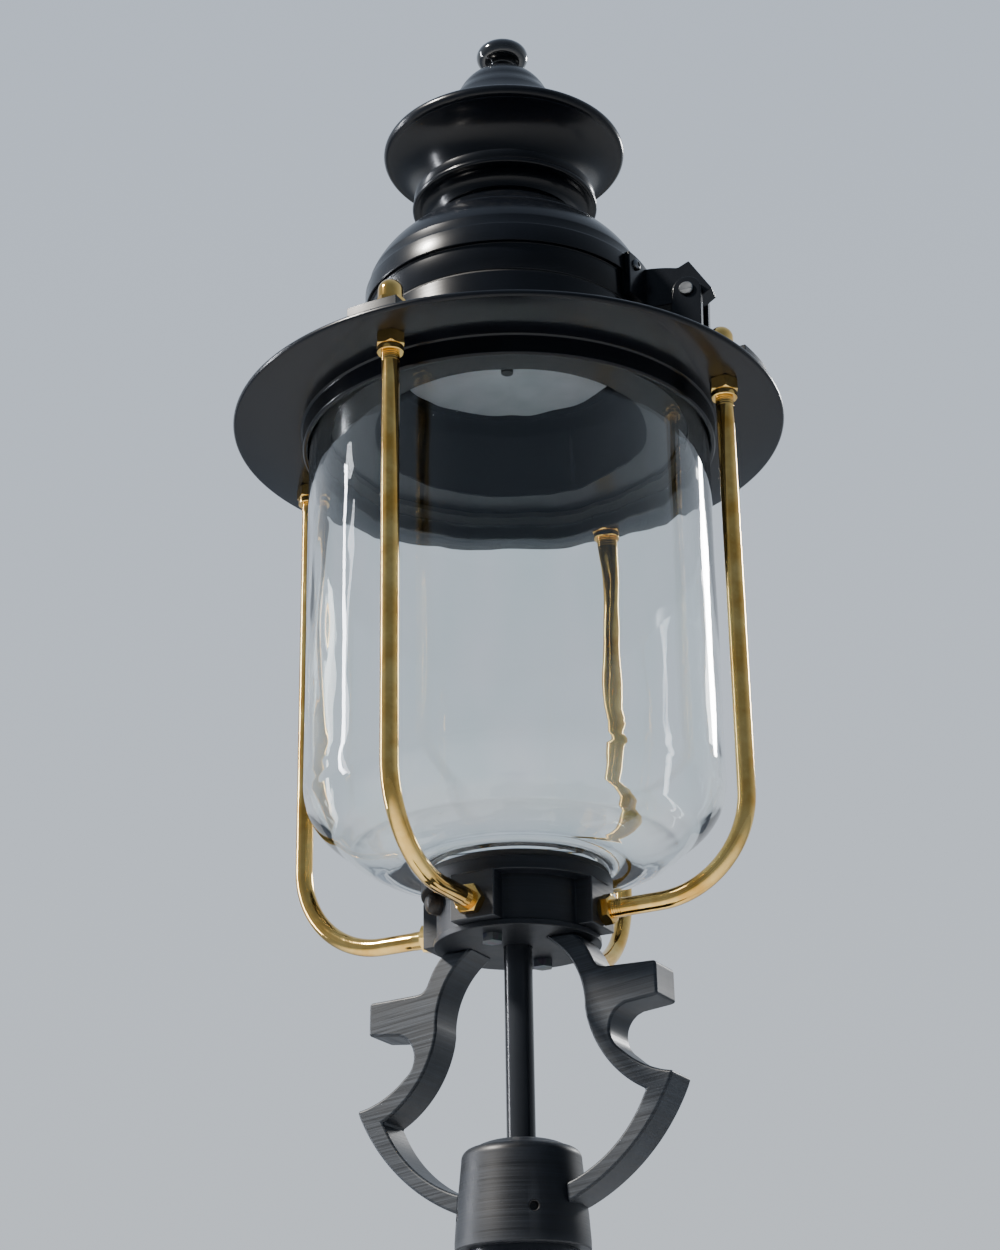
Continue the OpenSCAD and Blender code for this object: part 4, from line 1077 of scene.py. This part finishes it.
def makeBracket():
    # foot on the brim, two cheeks and the web that stops the lid
    d = hingeSize
    x, z, low = d["x"], d["z"], ringSize["thick"]
    half = d["half"] + d["gap"]
    bm = bmesh.new()
    addPrism(bm, [(x - 24, -20), (x + 9, -20), (x + 9, 20), (x - 24, 20)], 5, shift(0, 0, low))
    cheek = ([(x - 20, low + 4), (x + 9, low + 4)] + arcThrough((x + 11, z), (x, z + 11), (x - 11, z), 18)
             + [(x - 13, z - 20)])
    for y in (half, -half - d["cheek"]):
        addPrism(bm, cheek, d["cheek"], shift(0, y + d["cheek"], 0) @ edgeOn)
    web = [(x - 14, z - 40), (x - 3.6, z - 40), (x - 3.6, z - 11.6), (x - 14, z - 11.6)]
    addPrism(bm, web, 2 * half, shift(0, half, 0) @ edgeOn)
    bmesh.ops.transform(bm, matrix=atHinge, verts=bm.verts)
    return keep("hingeBracket", bm, "post", ["hinge_bracket"], "hood_paint", 0.8, 25)


def makeHingePin():
    d = hingeSize
    end, head, r = d["half"] + d["gap"] + d["cheek"], d["headR"], d["pinR"]
    oneEnd = [(head - 0.6, end + 2.5), (head, end + 1.9), (head, end), (r, end)]
    profile = [(0, -end - 2.5)] + [(x, -y) for x, y in oneEnd] + oneEnd[::-1] + [(0, end + 2.5)]
    bm = bmesh.new()
    addLathe(bm, profile, 0, 48, atHinge @ shift(d["x"], 0, d["z"]) @ edgeOn)
    return keep("hingePin", bm, "post", ["hinge_pin"], "stainless_steel", smoothAngle=35)


def makeHingeScrews():
    # round heads with a key socket
    d = hingeSize
    head = arcThrough((4.2, 1.7), (2.8, 2.5), (1.9, 2.6), 5)
    profile = [(0, -6), (2.5, -6), (2.5, 0), (4.4, 0), (4.4, 1.2)] + head + [(1.7, 1.4), (0, 1.3)]
    bm = bmesh.new()
    for a in (-1, 1):
        at = atHinge @ spin(a * d["screwTurn"]) @ shift(d["leafR"], 0, d["screwZ"]) @ outward
        addLathe(bm, profile, 0, 40, at)
    return keep("hingeScrews", bm, "lid", ["hinge_screws"], "stainless_steel", smoothAngle=35)


for make in (makeLeaf, makeBracket, makeHingePin, makeHingeScrews):
    make()
print("stage: hinge made")


# floor, light and camera

floorRadius = 40.0      # metres


def makeFloor():
    bm = bmesh.new()
    bmesh.ops.create_circle(bm, cap_ends=True, radius=floorRadius, segments=96)
    floorMesh = bpy.data.meshes.new("floor")
    bm.to_mesh(floorMesh)
    bm.free()
    floor = bpy.data.objects.new("floor", floorMesh)
    bpy.context.scene.collection.objects.link(floor)
    mat, tree, place = startMaterial("paleStudioFloor")
    cloud = addNode(tree, "TexNoise", None, {"Vector": place, "Scale": perMetre(833), "Detail": 3.0})
    colour = addNode(tree, "ValToRGB", {"stops": [(0.3, "#d2d3d4"), (0.7, "#d9dadb")]}, [cloud])
    finishMaterial(tree, {"Base Color": colour, "Roughness": 0.85})
    floorMesh.materials.append(mat)


worldLook = {"low": "#e3e8ee", "middle": "#d6e0ed", "high": "#c4d3e8", "dimSide": "#8f969e",
             "brightSide": "#ffffff", "brightToward": (-0.46, 0.89, 0.0), "strength": 0.95}


def makeWorld():
    # pale all round, a little bluer overhead, and dimmer behind the viewer so that dark paint stays dark
    d = worldLook
    world = bpy.data.worlds.new("studio")
    bpy.context.scene.world = world
    world.use_nodes = True
    tree = world.node_tree
    tree.nodes.clear()
    way = addNode(tree, "TexCoord").outputs["Generated"]
    height = addNode(tree, "MapRange", None, [addNode(tree, "SeparateXYZ", None, [way]).outputs["Z"], -0.1])
    sky = addNode(tree, "ValToRGB", {"stops": [(0.0, d["low"]), (0.45, d["middle"]), (1.0, d["high"])]},
                  [height])
    toward = addNode(tree, "VectorMath", {"operation": "DOT_PRODUCT"}, [way, d["brightToward"]])
    side = addNode(tree, "ValToRGB", {"stops": [(0.0, d["dimSide"]), (1.0, d["brightSide"])]},
                   [addNode(tree, "MapRange", None, [toward, -0.8, 0.7])])
    shade = addNode(tree, "Mix", {"data_type": "RGBA", "blend_type": "MULTIPLY"}, [1.0, sky, side])
    backdrop = addNode(tree, "Background", None, [shade, d["strength"]])
    addNode(tree, "OutputWorld", None, [backdrop])


lampSizes = [
    {"name": "keyLight", "at": (-3.5, -4.1, 6.6), "aim": (0, 0, 1.9), "wide": 0.8, "tall": 0.8, "watts": 460,
     "colour": "#fff9f0"},
    {"name": "stripLight", "at": (-4.6, -1.2, 2.9), "aim": (0, 0, 2.3), "wide": 0.25, "tall": 3.6,
     "watts": 60, "colour": "#f4f7ff"},
    {"name": "backLight", "at": (1.5, 6.0, 5.0), "aim": (0, 0, 2.6), "wide": 1.2, "tall": 1.2, "watts": 60,
     "colour": "#ffffff"},
]
lampSpread = 100        # degrees


def makeLamp(d):
    data = bpy.data.lights.new(d["name"], "AREA")
    data.shape = "ELLIPSE" if d["wide"] == d["tall"] else "RECTANGLE"
    data.size = d["wide"]
    data.size_y = d["tall"]
    data.energy = d["watts"]
    data.spread = math.radians(lampSpread)
    data.color = tone(d["colour"])[:3]
    lamp = bpy.data.objects.new(d["name"], data)
    lamp.location = d["at"]
    lamp.rotation_euler = (Vector(d["aim"]) - Vector(d["at"])).to_track_quat("-Z", "Y").to_euler()
    bpy.context.scene.collection.objects.link(lamp)


# eye height below the lantern, looking up at it, 27.5 degrees round from the front
viewSize = {"away": 1.695, "below": 0.887, "around": 27.5, "pitch": 23.31, "yaw": -0.305, "roll": -0.90,
            "lensMm": 71.775, "sensorMm": 36}


def makeCamera():
    d = viewSize
    yaw, pitch, roll = (math.radians(d[key]) for key in ("yaw", "pitch", "roll"))
    ahead = Vector((math.sin(yaw) * math.cos(pitch), math.cos(yaw) * math.cos(pitch), math.sin(pitch)))
    right = ahead.cross(Vector((0, 0, 1))).normalized()
    level = Matrix((right, right.cross(ahead), -ahead)).transposed().to_4x4()
    data = bpy.data.cameras.new("eyeLevel")
    data.sensor_width = d["sensorMm"]
    data.lens = d["lensMm"]
    camera = bpy.data.objects.new("eyeLevel", data)
    place = spin(d["around"]) @ shift(0, -d["away"], brimZ - d["below"])
    camera.matrix_world = place @ level @ Matrix.Rotation(roll, 4, "Z")
    bpy.context.scene.collection.objects.link(camera)
    bpy.context.scene.camera = camera


makeFloor()
makeWorld()
for lampSize in lampSizes:
    makeLamp(lampSize)
makeCamera()
print("stage: light and camera ready")
